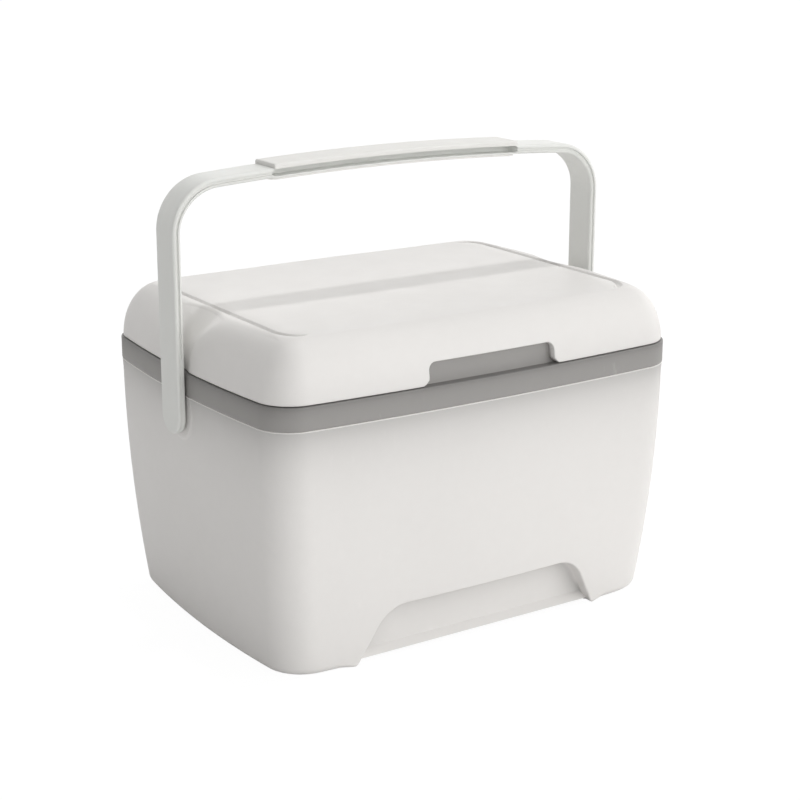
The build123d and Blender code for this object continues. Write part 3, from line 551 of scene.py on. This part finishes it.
def rim_collar_rows():
    """The collar's closed profile carried once round the plan. Beside the arms the part of it that
    stands above the stub height is pressed down to that height."""
    corners = [
        (0, BAND_BASE, BAND_EDGE),
        (0, COLLAR_TOP, BAND_EDGE),
        (LIP_OUTER, COLLAR_TOP, LIP_ROOT),
        (LIP_OUTER, LIP_TOP, LIP_EDGE),
        (LIP_INNER, LIP_TOP, LIP_EDGE),
        (LIP_INNER, COLLAR_TOP, LIP_ROOT),
        (REBATE_INSET, COLLAR_TOP, REBATE_EDGE),
        (REBATE_INSET, REBATE_BASE, 0),
        (MOUTH_INSET, REBATE_BASE, MOUTH_EDGE),
        (MOUTH_INSET, PLATE_BASE, 0),
        (BAND_WALL, PLATE_BASE, 0),
        (BAND_WALL, BAND_BASE, 0),
    ]
    profile = soft_corners([corner[:2] for corner in corners], [corner[2] for corner in corners])
    end = np.concatenate(
        [np.linspace(1, STUB_SHARE, 12), np.linspace(STUB_SHARE - STUB_STEP, 0, 6)]
    )
    loop = plan_loop(np.linspace(0, 1, 30), np.linspace(0, 1, 20)[1:-1], end)
    beside_arm = (loop[0] == 2) & (loop[1] < STUB_SHARE - STUB_STEP / 2)
    rows = []
    for inset, height in profile:
        x, y = plan_points(loop, inset, max(CORNER_RADIUS - inset, MOUTH_CORNER))
        row_height = np.where(beside_arm, min(height, LIP_STUB), height)
        rows.append(np.stack([x, y, row_height], axis=-1))
    rows.append(rows[0])
    return np.stack(rows)


rim_collar = moulding("rim_moulding", [(rim_collar_rows(), True)])
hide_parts("rim_collar")
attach(rim_collar, "base")
# Painted shade: the band's colour is painted darker just under the lid's edge, fading over a few
# millimetres.
painted_shade_under_lid = (0.38, COLLAR_TOP, 0.004)
grey_rim = finish("grey_polypropylene", (153, 151, 149), 0.5, cloud=0.08, shade=painted_shade_under_lid)
dress(grey_rim, rim_collar)

# ---------------------------------------------------------------------------
# Inner liner and foam: a smooth white tub with drafted walls, welded to the
# collar, and the poured polyurethane foam that fills the box behind it.
# ---------------------------------------------------------------------------
tub_white = finish("tub_polypropylene", (224, 224, 222), 0.36, grain=1400.0, relief=0.12)
poured_foam = finish(
    "poured_foam", (222, 206, 160), 0.85, cloud=0.16, grain=380.0, relief=0.9, wear=0
)
dress(tub_white, "inner_liner")
dress(poured_foam, "body_insulation")

# ---------------------------------------------------------------------------
# Lid cover: a white polypropylene moulding with a full rounded shoulder, two
# grooves on its top, scoops that clear the arms and a notch for the fingers.
# ---------------------------------------------------------------------------
LID_BASE = 0.179
LID_INSET = 0.0012
LID_WALL = 0.0026
LID_EDGE = 0.0006
SHOULDER_HEIGHT = 0.0365
SHOULDER_FRONT = 0.025
SHOULDER_CORNER = 0.0225
SHOULDER_TURN = radians(74)
SHOULDER_END = 0.022
SHOULDER_BLEND = 0.4
SHOULDER_SPREAD = 1.3
LID_CORNER = 0.0245
LID_TOP_CORNER = 0.007
LID_SPREAD_FROM = 0.075

NOTCH_HALF = 0.048
NOTCH_TOP = 0.1931
NOTCH_CORNER = 0.005
NOTCH_FLARE = 0.0035
NOTCH_FOOT = 0.0015
NOTCH_RETURN = 0.0056
NOTCH_LIP = 0.0008
NOTCH_END = 0.0575
NOTCH_BLEND = 0.005

SCOOP_INNER = 0.122
SCOOP_REACH = 0.0342
SCOOP_HEIGHT = 0.039
SCOOP_RADIUS = 0.024
SCOOP_SPREAD = 0.075
SCOOP_SOFT = 0.0012
SCOOP_CLEAR = 0.012
SCOOP_SHARE = 0.42

GROOVE_X = 0.1315
GROOVE_Y = 0.095
GROOVE_HOOK = 0.023
GROOVE_TURN = radians(50)
GROOVE_HALF_WIDTH = 0.0021
GROOVE_DEPTH = 0.0017
GROOVE_FADE = 3
GROOVE_REACH = 1.3
GROOVE_RIM = 1.25
GROOVE_FLOOR = 0.5
LOOP_FRONT = 0.0885
LOOP_PRESS_FROM = 0.75
LOOP_PRESS_OVER = 0.82


def scooped(points):
    """Cuts the lid's ends back to the scoops: an upright cylinder wall whose floor leans in with
    height on a quarter ellipse and whose radius grows with the fourth power of the rise. The lid's
    end a and the scoop b blend as (a + b - sqrt((a - b) squared + softness squared)) / 2."""
    rise = np.clip((points[..., 2] - COLLAR_TOP) / SCOOP_HEIGHT, 0, 1)
    radius = SCOOP_RADIUS + SCOOP_SPREAD * rise**4
    aside = np.minimum(np.abs(points[..., 1]), radius)
    floor = SCOOP_INNER + SCOOP_REACH * np.sqrt(1 - rise**2)
    scoop = floor + radius - np.sqrt(radius**2 - aside**2)
    out = np.abs(points[..., 0])
    soft = (out + scoop - np.hypot(out - scoop, SCOOP_SOFT)) / 2
    soft = np.where(scoop - out > SCOOP_CLEAR, out, soft)
    points[..., 0] = np.sign(points[..., 0]) * soft
    return points


def lid_cover_rows():
    """Rows run out from the return of the base and the notch, up the wall and over an elliptical
    shoulder, across the top to the loop that the grooves lie on, and in to the middle."""
    fronts = 76
    path = [
        (0, NOTCH_TOP),
        (NOTCH_HALF, NOTCH_TOP),
        (NOTCH_HALF, LID_BASE + NOTCH_FLARE),
        (NOTCH_HALF + NOTCH_FLARE, LID_BASE),
        (FLOOR_X, LID_BASE),
    ]
    edge, normal = rounded_path(path, (NOTCH_CORNER, NOTCH_FOOT, NOTCH_FOOT), fronts)
    end = np.concatenate([np.linspace(1, SCOOP_SHARE, 12), np.linspace(SCOOP_SHARE, 0, 30)[1:]])
    loop = plan_loop(np.linspace(0, 1, fronts), np.linspace(0, 1, 26)[1:-1], end)
    part, share, x_sign, y_sign = loop
    quarter_x = np.round(share * (fronts - 1)).astype(int)
    front = part == 0
    notched = front & (y_sign < 0)
    plain = np.stack([share * FLOOR_X, 0 * share + LID_BASE], axis=1)
    edge = np.where(notched[:, None], edge[quarter_x], plain)
    normal = np.where(notched[:, None], normal[quarter_x], [[0, 1]])
    notch = notched * smooth_step((NOTCH_END - edge[:, 0]) / NOTCH_BLEND)
    deep = LID_WALL + (NOTCH_RETURN - LID_WALL) * notch
    edge_round = LID_EDGE + (NOTCH_LIP - LID_EDGE) * notch
    widest = np.where(front, SHOULDER_FRONT, SHOULDER_END)
    near_corner = smooth_step((share - SHOULDER_BLEND) / (1 - SHOULDER_BLEND))
    near_corner = np.where(part == 1, 1, near_corner)
    shoulder = widest + (SHOULDER_CORNER - widest) * near_corner

    def lid_row(x, height, inward):
        """Points of the lid's outer surface at distances from the middle and heights: the shoulder
        moves in by its width times 1 less the cosine of an angle whose sine is the rise."""
        rise = np.clip((height - COLLAR_TOP) / SHOULDER_HEIGHT, 0, 1)
        curve = 1 - np.sqrt(1 - rise**2)
        corner = LID_CORNER - (LID_CORNER - LID_TOP_CORNER) * curve
        inset = LID_INSET + shoulder * curve + inward
        reach = front_reach(inset, corner)
        grown = smooth_step((x - LID_SPREAD_FROM) / (FLOOR_X - LID_SPREAD_FROM))
        spread_x = x * (1 + grown * (reach / FLOOR_X - 1))
        row_x, row_y = plan_points(loop, inset, corner, spread_x)
        return scooped(np.stack([row_x, row_y, height], axis=-1))

    rows = []
    for inward in (deep, (deep + edge_round) / 2):
        rows.append(lid_row(edge[:, 0], edge[:, 1], inward))
    for turn in np.linspace(0, pi / 2, 6):
        around = edge + (edge_round * (1 - np.cos(turn)))[:, None] * normal
        rows.append(lid_row(around[:, 0], around[:, 1], edge_round * (1 - np.sin(turn))))
    start = edge + edge_round[:, None] * normal
    first = np.arcsin((start[:, 1] - COLLAR_TOP) / SHOULDER_HEIGHT)
    even_x = share * FLOOR_X
    for up in np.linspace(0, 1, 34)[1:]:
        angle = first + (SHOULDER_TURN - first) * up
        x = start[:, 0] + (even_x - start[:, 0]) * smooth_step(up * SHOULDER_SPREAD)
        rows.append(lid_row(x, COLLAR_TOP + SHOULDER_HEIGHT * np.sin(angle), 0 * x))

    rim = rows[-1]
    flat = lid_row(even_x, 0 * share + COLLAR_TOP + SHOULDER_HEIGHT, 0 * share)
    room = (flat[:, 0] - rim[:, 0]) ** 2 + (flat[:, 1] - rim[:, 1]) ** 2

    def draped(x, y, sunk):
        """Points of the top at signed x and y: the shoulder's ellipse goes on along each column
        from the last row to where the top is flat, less the depth that they are sunk."""
        gone = ((x - rim[:, 0]) * (flat - rim)[:, 0] + (y - rim[:, 1]) * (flat - rim)[:, 1]) / room
        lean = cos(SHOULDER_TURN) * np.clip(1 - gone, 0, 1)
        height = COLLAR_TOP + SHOULDER_HEIGHT * np.sqrt(1 - lean**2) - sunk
        return np.stack([x, y, height], axis=-1)

    def groove_loop(offset):
        """The straight-sided loop with round corners that the grooves lie on, moved out."""
        straight_x = GROOVE_X - GROOVE_HOOK
        straight_y = GROOVE_Y - GROOVE_HOOK
        radius = GROOVE_HOOK + offset
        turn = pi / 2 * (1 - share)
        x = np.select(
            [front, part == 1],
            [share * straight_x, straight_x + radius * np.cos(turn)],
            straight_x + radius,
        )
        y = np.select(
            [front, part == 1],
            [straight_y + radius, straight_y + radius * np.sin(turn)],
            share * straight_y,
        )
        round_by = np.where(front, pi / 2, turn * (part == 1))
        pressed = smooth_step((round_by - LOOP_PRESS_FROM) / LOOP_PRESS_OVER)
        y = y - (GROOVE_Y - LOOP_FRONT) * pressed
        past = np.where(front, 1, np.where(part == 1, (1 - share) * pi / 2 - GROOVE_TURN, -1))
        past = np.maximum(past, 0) * GROOVE_HOOK
        from_groove = np.hypot(offset, past / GROOVE_FADE) / GROOVE_HALF_WIDTH
        sunk = GROOVE_DEPTH * smooth_step((GROOVE_RIM - from_groove) / (GROOVE_RIM - GROOVE_FLOOR))
        return draped(x_sign * x, y_sign * y, sunk)

    outer = groove_loop(GROOVE_REACH * GROOVE_HALF_WIDTH)
    for across in np.linspace(0, 1, 10)[1:-1]:
        between = rim + (outer - rim) * across
        rows.append(draped(between[:, 0], between[:, 1], 0))
    for offset in np.linspace(GROOVE_REACH, -GROOVE_REACH, 19) * GROOVE_HALF_WIDTH:
        rows.append(groove_loop(offset))
    inner = rows[-1]
    for scale in (0.93, 0.8, 0.6, 0.3, 0):
        rows.append(inner * [scale, scale, 1])
    return np.stack(rows)


lid_cover = moulding("lid_moulding", [(lid_cover_rows(), True)], wall=LID_WALL)
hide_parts("lid_cover")
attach(lid_cover, "lid")
dress(white_shell, lid_cover)

# ---------------------------------------------------------------------------
# Lid tray: the white tray with the plug that fills the mouth of the tub, its
# core of the same foam, and the dark rubber gasket in the tray's groove.
# ---------------------------------------------------------------------------
dress(tub_white, "lid_liner")
dress(poured_foam, "lid_insulation")
gasket_rubber = finish("gasket_rubber", (62, 63, 64), 0.62, grain=1600.0, relief=0.3, wear=0.15)
dress(gasket_rubber, "lid_gasket")

# ---------------------------------------------------------------------------
# Bail: a strap bent over the box, of firm white polypropylene, with soft edges,
# a slot along each narrow face and round ends that turn on the pivots.
# ---------------------------------------------------------------------------
STRAP_FACE = 0.16665
STRAP_THICK = 0.0056
STRAP_HALF = 0.0122
STRAP_EDGE = 0.0017
BAR_TOP = 0.3051
BAR_ARCH = 1.920
BEND_RADIUS = 0.034
BAR_THICKER = 0.16
SLOT_NEAR = 0.0023
SLOT_FAR = 0.0037
SLOT_DEEP = 0.0012
SLOT_SOFT = 0.00035
ARC_HALFWAY = 0.3
SLOT_FOOT = 0.0377
SLOT_RUN_OUT = 0.0012
GRIP_SLOT_NEAR = 0.0007
GRIP_SLOT_FAR = 0.0046
GRIP_SLOT_DEEP = 0.009
GRIP_SLOT_HALF = 0.094
GRIP_EDGE = 0.0003
BEND_X = STRAP_FACE - BEND_RADIUS
ARCH_CENTRE = BAR_TOP - BAR_ARCH
BEND_Z = ARCH_CENTRE + sqrt((BAR_ARCH - BEND_RADIUS) ** 2 - BEND_X**2)
BEND_TURN = atan2(BEND_Z - ARCH_CENTRE, BEND_X)


def strap_stations():
    """Stations along the strap, from one pivot up its arm, round the bend, along the arched bar and
    down to the other pivot, as points of its outer face and the directions in which that looks."""
    arm = np.linspace(PIVOT_HEIGHT, BEND_Z, 30)[:-1]
    bend = np.linspace(0, BEND_TURN, 28)
    arch = np.linspace(BEND_TURN, pi / 2, 60)[1:]
    bend_x = BEND_X + BEND_RADIUS * np.cos(bend)
    bend_z = BEND_Z + BEND_RADIUS * np.sin(bend)
    x = np.concatenate([0 * arm + STRAP_FACE, bend_x, BAR_ARCH * np.cos(arch)])
    z = np.concatenate([arm, bend_z, ARCH_CENTRE + BAR_ARCH * np.sin(arch)])
    angle = np.concatenate([0 * arm, bend, arch])
    points = np.stack([x, z], axis=1)
    facing = np.stack([np.cos(angle), np.sin(angle)], axis=1)
    both = np.concatenate([points, points[-2::-1] * [-1, 1]])
    return both, np.concatenate([facing, facing[-2::-1] * [-1, 1]])


def strap_section(slot_near, slot_far, slot_deep, edge):
    """The strap's section as a closed loop: depth below the outer face, share of the half width,
    and how far the half width is drawn in there. Corners are quarter circles, and halfway round one
    its distance from both faces is 0.3 of its radius."""
    quarter = np.linspace(0, pi / 2, 6)
    flat = np.linspace(-1, 1, 9)[1:-1]
    down = edge * (1 - np.cos(quarter))
    draw = edge * (1 - np.sin(quarter))
    halfway = SLOT_SOFT * ARC_HALFWAY
    slot_depth = [slot_near - SLOT_SOFT, slot_near - halfway, slot_near, slot_near]
    slot_depth += [slot_far, slot_far, slot_far + halfway, slot_far + SLOT_SOFT]
    slot_draw = [0, halfway, SLOT_SOFT, slot_deep, slot_deep, SLOT_SOFT, halfway, 0]
    side_depth = np.concatenate([down, slot_depth, STRAP_THICK - down[::-1]])
    side_draw = np.concatenate([draw, slot_draw, draw[::-1]])
    depth = np.concatenate([0 * flat, side_depth, 0 * flat + STRAP_THICK, side_depth[::-1]])
    share = np.concatenate([flat, 0 * side_draw + 1, flat[::-1], 0 * side_draw - 1])
    drawn = np.concatenate([0 * flat + edge, side_draw, 0 * flat + edge, side_draw[::-1]])
    return depth, share, drawn


def handle_bail_rows():
    """The section carried along the strap. Below each pivot its chords shrink with the cosine of an
    angle while they sink with its sine, which rounds the arm's end about the pivot."""
    path, facing = strap_stations()
    plain = strap_section(SLOT_NEAR, SLOT_FAR, 0.0, STRAP_EDGE)
    slotted = strap_section(SLOT_NEAR, SLOT_FAR, SLOT_DEEP, STRAP_EDGE)
    gripped = strap_section(GRIP_SLOT_NEAR, GRIP_SLOT_FAR, GRIP_SLOT_DEEP, GRIP_EDGE)
    rows = []
    for (x, z), (facing_x, facing_z) in zip(path, facing):
        slotted_by = smooth_step((z - PIVOT_HEIGHT - SLOT_FOOT) / SLOT_RUN_OUT)
        in_grip = abs(x) < GRIP_SLOT_HALF
        depth, share, drawn = (
            c if in_grip else a + (b - a) * slotted_by for a, b, c in zip(plain, slotted, gripped)
        )
        y = share * (STRAP_HALF - drawn)
        depth = depth * (1 + BAR_THICKER * smooth_step(facing_z))
        rows.append(np.stack([x - facing_x * depth, y, z - facing_z * depth], axis=-1))
    depth, share, drawn = plain
    half = STRAP_HALF - drawn
    foot = []
    for turn in np.linspace(pi / 2, 0, 16)[:-1]:
        y = share * half * np.cos(turn)
        foot.append(np.stack([STRAP_FACE - depth, y, PIVOT_HEIGHT - half * np.sin(turn)], axis=-1))
    foot = np.stack(foot)
    return np.concatenate([foot, np.stack(rows), (foot * [-1, 1, 1])[::-1]])


handle_bail = moulding("bail_strap", [(handle_bail_rows(), True)])
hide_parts("handle_bail")
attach(handle_bail, "handle")
dress(finish("strap_polypropylene", (226, 227, 224), 0.48), handle_bail)

# ---------------------------------------------------------------------------
# Pivots: on each side a turned steel stud through the arm and the wall, a nylon
# washer that keeps the arm off the pad, and a spring clip inside the shell.
# ---------------------------------------------------------------------------
for side in ("left", "right"):
    dress(finish(f"nylon_{side}", (226, 223, 212), 0.4, wear=0.2), f"pivot_washer_{side}")
    steel = finish(f"turned_steel_{side}", (186, 186, 184), 0.3, cloud=0.12, grain=2200.0, wear=0.4)
    steel.node_tree.nodes["Principled BSDF"].inputs["Metallic"].default_value = 1.0
    dress(steel, f"pivot_pin_{side}", f"pivot_clip_{side}")

# ---------------------------------------------------------------------------
# Grip: a smooth cover wrapped over the bar's outer flange, and below the bar a
# soft rubber pad where the fingers close.
# ---------------------------------------------------------------------------
COVER_HALF = 0.095
COVER_RISE = 0.0027
COVER_HALF_WIDTH = 0.0131
COVER_EDGE = 0.0018
COVER_END = 0.0007
COVER_BORE = 0.0123
BORE_SPREAD = 1.2
COVER_LAP = 0.0001
STRIP_HALF = 0.096
STRIP_TOP = 0.0065
STRIP_BASE = 0.008
STRIP_HALF_WIDTH = 0.0105
STRIP_EDGE = 0.0007
STRIP_CORNER = 0.006


def on_bar(x, depth, y):
    """Points at a distance along the bar and a depth below its outer face, on its long arch."""
    angle = np.arccos(x / BAR_ARCH)
    reach = BAR_ARCH - depth
    height = ARCH_CENTRE + reach * np.sin(angle)
    return np.stack([reach * np.cos(angle), y + 0 * x, height], axis=-1)


def rounded_stations(half, corner, turns, middles):
    """Distances along the bar from end to end, and how far the width is drawn in there: over a
    quarter circle of one corner's radius at both ends, and not at all between them."""
    turn = np.linspace(pi / 2, 0, turns)
    end = half - corner * (1 - np.sin(turn))
    straight = np.linspace(-1, 1, middles)[1:-1] * (half - corner)
    drawn = corner * (1 - np.cos(turn))
    x = np.concatenate([-end, straight, end[::-1]])
    return zip(x, np.concatenate([drawn, 0 * straight, drawn[::-1]]))


def grip_cover_grids():
    """A channel section carried along the bar: its outside is drawn in over a quarter circle at
    each end, and a strip from the outside to the bore closes the end."""
    quarter = np.linspace(0, pi / 2, 7)
    top = np.linspace(-1, 1, 9)[1:-1] * (COVER_HALF_WIDTH - COVER_EDGE)
    curve_y = COVER_HALF_WIDTH - COVER_EDGE * (1 - np.cos(quarter))
    curve_d = -COVER_RISE + COVER_EDGE * (1 - np.sin(quarter))
    outer_y = np.concatenate(
        [[-COVER_HALF_WIDTH], -curve_y, top, curve_y[::-1], [COVER_HALF_WIDTH]]
    )
    side = [GRIP_SLOT_NEAR]
    outer_d = np.concatenate([side, curve_d, 0 * top - COVER_RISE, curve_d[::-1], side])
    inner_y = np.clip(outer_y * BORE_SPREAD, -COVER_BORE, COVER_BORE)
    inner_d = np.concatenate([side, 0 * outer_d[1:-1] - COVER_LAP, side])
    rows = []
    for x, drawn in rounded_stations(COVER_HALF, COVER_END, 6, 61):
        y = outer_y * (1 - drawn / COVER_HALF_WIDTH)
        depth = np.minimum(outer_d + drawn * (outer_d < GRIP_SLOT_NEAR), GRIP_SLOT_NEAR)
        ring_y = np.concatenate([y, inner_y[::-1]])
        ring_d = np.concatenate([depth, inner_d[::-1]])
        rows.append(on_bar(0 * ring_y + x, ring_d, ring_y))
    rows = np.stack(rows)
    count = len(outer_y)
    ends = [np.stack([row[:count], row[count:][::-1]]) for row in (rows[0], rows[-1])]
    return [(rows, True)] + [(end, False) for end in ends]


def grip_pad_rows():
    """A flat strip with soft lower edges and round corners. A last row at each end, folded onto the
    middle of the one beside it, closes the strip."""
    quarter = np.linspace(0, pi / 2, 5)
    side_y = STRIP_HALF_WIDTH - STRIP_EDGE + STRIP_EDGE * np.cos(quarter)
    side_d = STRIP_BASE - STRIP_EDGE + STRIP_EDGE * np.sin(quarter)
    y = np.concatenate([[STRIP_HALF_WIDTH], side_y, -side_y[::-1], [-STRIP_HALF_WIDTH]])
    depth = np.concatenate([[STRIP_TOP], side_d, side_d[::-1], [STRIP_TOP]])
    rows = []
    for x, drawn in rounded_stations(STRIP_HALF, STRIP_CORNER, 12, 41):
        rows.append(on_bar(0 * y + x, depth, y * (1 - drawn / STRIP_HALF_WIDTH)))
    first, last = (0.5 * (row + row[::-1]) for row in (rows[0], rows[-1]))
    return np.stack([first] + rows + [last])


grip_cover = moulding("grip_sleeve", grip_cover_grids())
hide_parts("grip_cover")
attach(grip_cover, "handle")
dress(finish("grip_elastomer", (228, 227, 224), 0.6, grain=1500.0, relief=0.3), grip_cover)
grip_pad = moulding("finger_pad", [(grip_pad_rows(), True)])
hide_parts("grip_pad")
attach(grip_pad, "handle")
dress(finish("pad_elastomer", (236, 235, 232), 0.65, grain=1500.0, relief=0.35), grip_pad)

# ---------------------------------------------------------------------------
# Load: two blown coolant bottles along the long walls with ribbed screw caps,
# and the soft foam pad above them, slit crosswise for the vials.
# ---------------------------------------------------------------------------
bottle_plastic = finish("bottle_polyethylene", (206, 220, 229), 0.33, cloud=0.08, grain=700.0)
dress(bottle_plastic, "ice_pack_front", "ice_pack_rear")
dress(finish("cap_polypropylene", (52, 104, 158), 0.4), "ice_cap_front", "ice_cap_rear")
soft_foam = finish("soft_foam", (150, 162, 170), 0.95, cloud=0.2, grain=650.0, relief=1.0, wear=0)
dress(soft_foam, "foam_pad")

# ---------------------------------------------------------------------------
# Studio: the camera, a soft room light with a darker left and a window in front,
# a small lamp overhead, and a floor of white paper that keeps the box's shadow.
# ---------------------------------------------------------------------------
camera_data = bpy.data.cameras.new("camera")
camera_data.lens = 78.44
camera_data.sensor_width = 36
camera_data.shift_x = 0.0113
camera_data.shift_y = -0.0538
camera = bpy.data.objects.new("camera", camera_data)
scene.collection.objects.link(camera)
camera.location = (-0.6226, -0.9640, 0.4729)
camera.rotation_euler = Vector((0.5238, 0.8110, -0.2603)).to_track_quat("-Z", "Y").to_euler()
scene.camera = camera
scene.view_settings.view_transform = "Standard"

world = bpy.data.worlds.new("studio")
world.use_nodes = True
scene.world = world
sky = world.node_tree.nodes
sky_link = world.node_tree.links.new
looking = sky.new("ShaderNodeTexCoord")


def sky_part(direction, start, full, level, far_level, ease="LINEAR"):
    """A share of the room's light that changes from one level to another as a ray turns to face a
    direction, between two cosines of the angle from it."""
    facing = sky.new("ShaderNodeVectorMath")
    facing.operation = "DOT_PRODUCT"
    facing.inputs[1].default_value = direction
    sky_link(looking.outputs["Generated"], facing.inputs[0])
    part = sky.new("ShaderNodeMapRange")
    part.interpolation_type = ease
    for socket, number in zip(part.inputs[1:5], (start, full, level, far_level)):
        socket.default_value = number
    sky_link(facing.outputs["Value"], part.inputs["Value"])
    return part.outputs["Result"]


light = sky_part((0, 0, 1), start=0, full=1, level=1.6, far_level=1.15)
shaded_side = sky_part(
    (-0.72, -0.18, 0.67), start=0.25, full=0.55, level=0, far_level=-1.06, ease="SMOOTHSTEP"
)
front_window = sky_part((0, -0.85, -0.5), start=0, full=1, level=0, far_level=1.14)
for part in (shaded_side, front_window):
    total = sky.new("ShaderNodeMath")
    sky_link(light, total.inputs[0])
    sky_link(part, total.inputs[1])
    light = total.outputs[0]
room_light = sky["Background"]
room_light.inputs["Color"].default_value = (1.0, 0.995, 0.985, 1)
sky_link(light, room_light.inputs["Strength"])
seen = sky.new("ShaderNodeBackground")
seen.inputs["Color"].default_value = (1, 1, 1, 1)
sky_path = sky.new("ShaderNodeLightPath")
sky_choice = sky.new("ShaderNodeMixShader")
sky_link(sky_path.outputs["Is Camera Ray"], sky_choice.inputs[0])
sky_link(room_light.outputs[0], sky_choice.inputs[1])
sky_link(seen.outputs[0], sky_choice.inputs[2])
sky_link(sky_choice.outputs[0], sky["World Output"].inputs["Surface"])

lamp_data = bpy.data.lights.new("overhead", "AREA")
lamp_data.shape = "DISK"
lamp_data.size = 0.11
lamp_data.energy = 3.9
lamp = bpy.data.objects.new("overhead", lamp_data)
lamp.location = (0.0, 0.03, 1.65)
scene.collection.objects.link(lamp)

bpy.ops.mesh.primitive_plane_add(size=20)
floor = bpy.context.object
floor.name = "studio_floor"
floor_paper = bpy.data.materials.new("floor_paper")
floor_paper.use_nodes = True
paper = floor_paper.node_tree.nodes
paper_link = floor_paper.node_tree.links.new
paper["Principled BSDF"].inputs["Base Color"].default_value = (0.86, 0.86, 0.86, 1)
paper["Principled BSDF"].inputs["Roughness"].default_value = 0.9
glow = paper.new("ShaderNodeEmission")
glow.inputs["Strength"].default_value = 1.06
paper_path = paper.new("ShaderNodeLightPath")
glow_share = paper.new("ShaderNodeMath")
glow_share.operation = "MULTIPLY"
glow_share.inputs[1].default_value = 0.9
paper_choice = paper.new("ShaderNodeMixShader")
paper_link(paper_path.outputs["Is Camera Ray"], glow_share.inputs[0])
paper_link(glow_share.outputs[0], paper_choice.inputs[0])
paper_link(paper["Principled BSDF"].outputs[0], paper_choice.inputs[1])
paper_link(glow.outputs[0], paper_choice.inputs[2])
paper_link(paper_choice.outputs[0], paper["Material Output"].inputs["Surface"])
floor.data.materials.append(floor_paper)
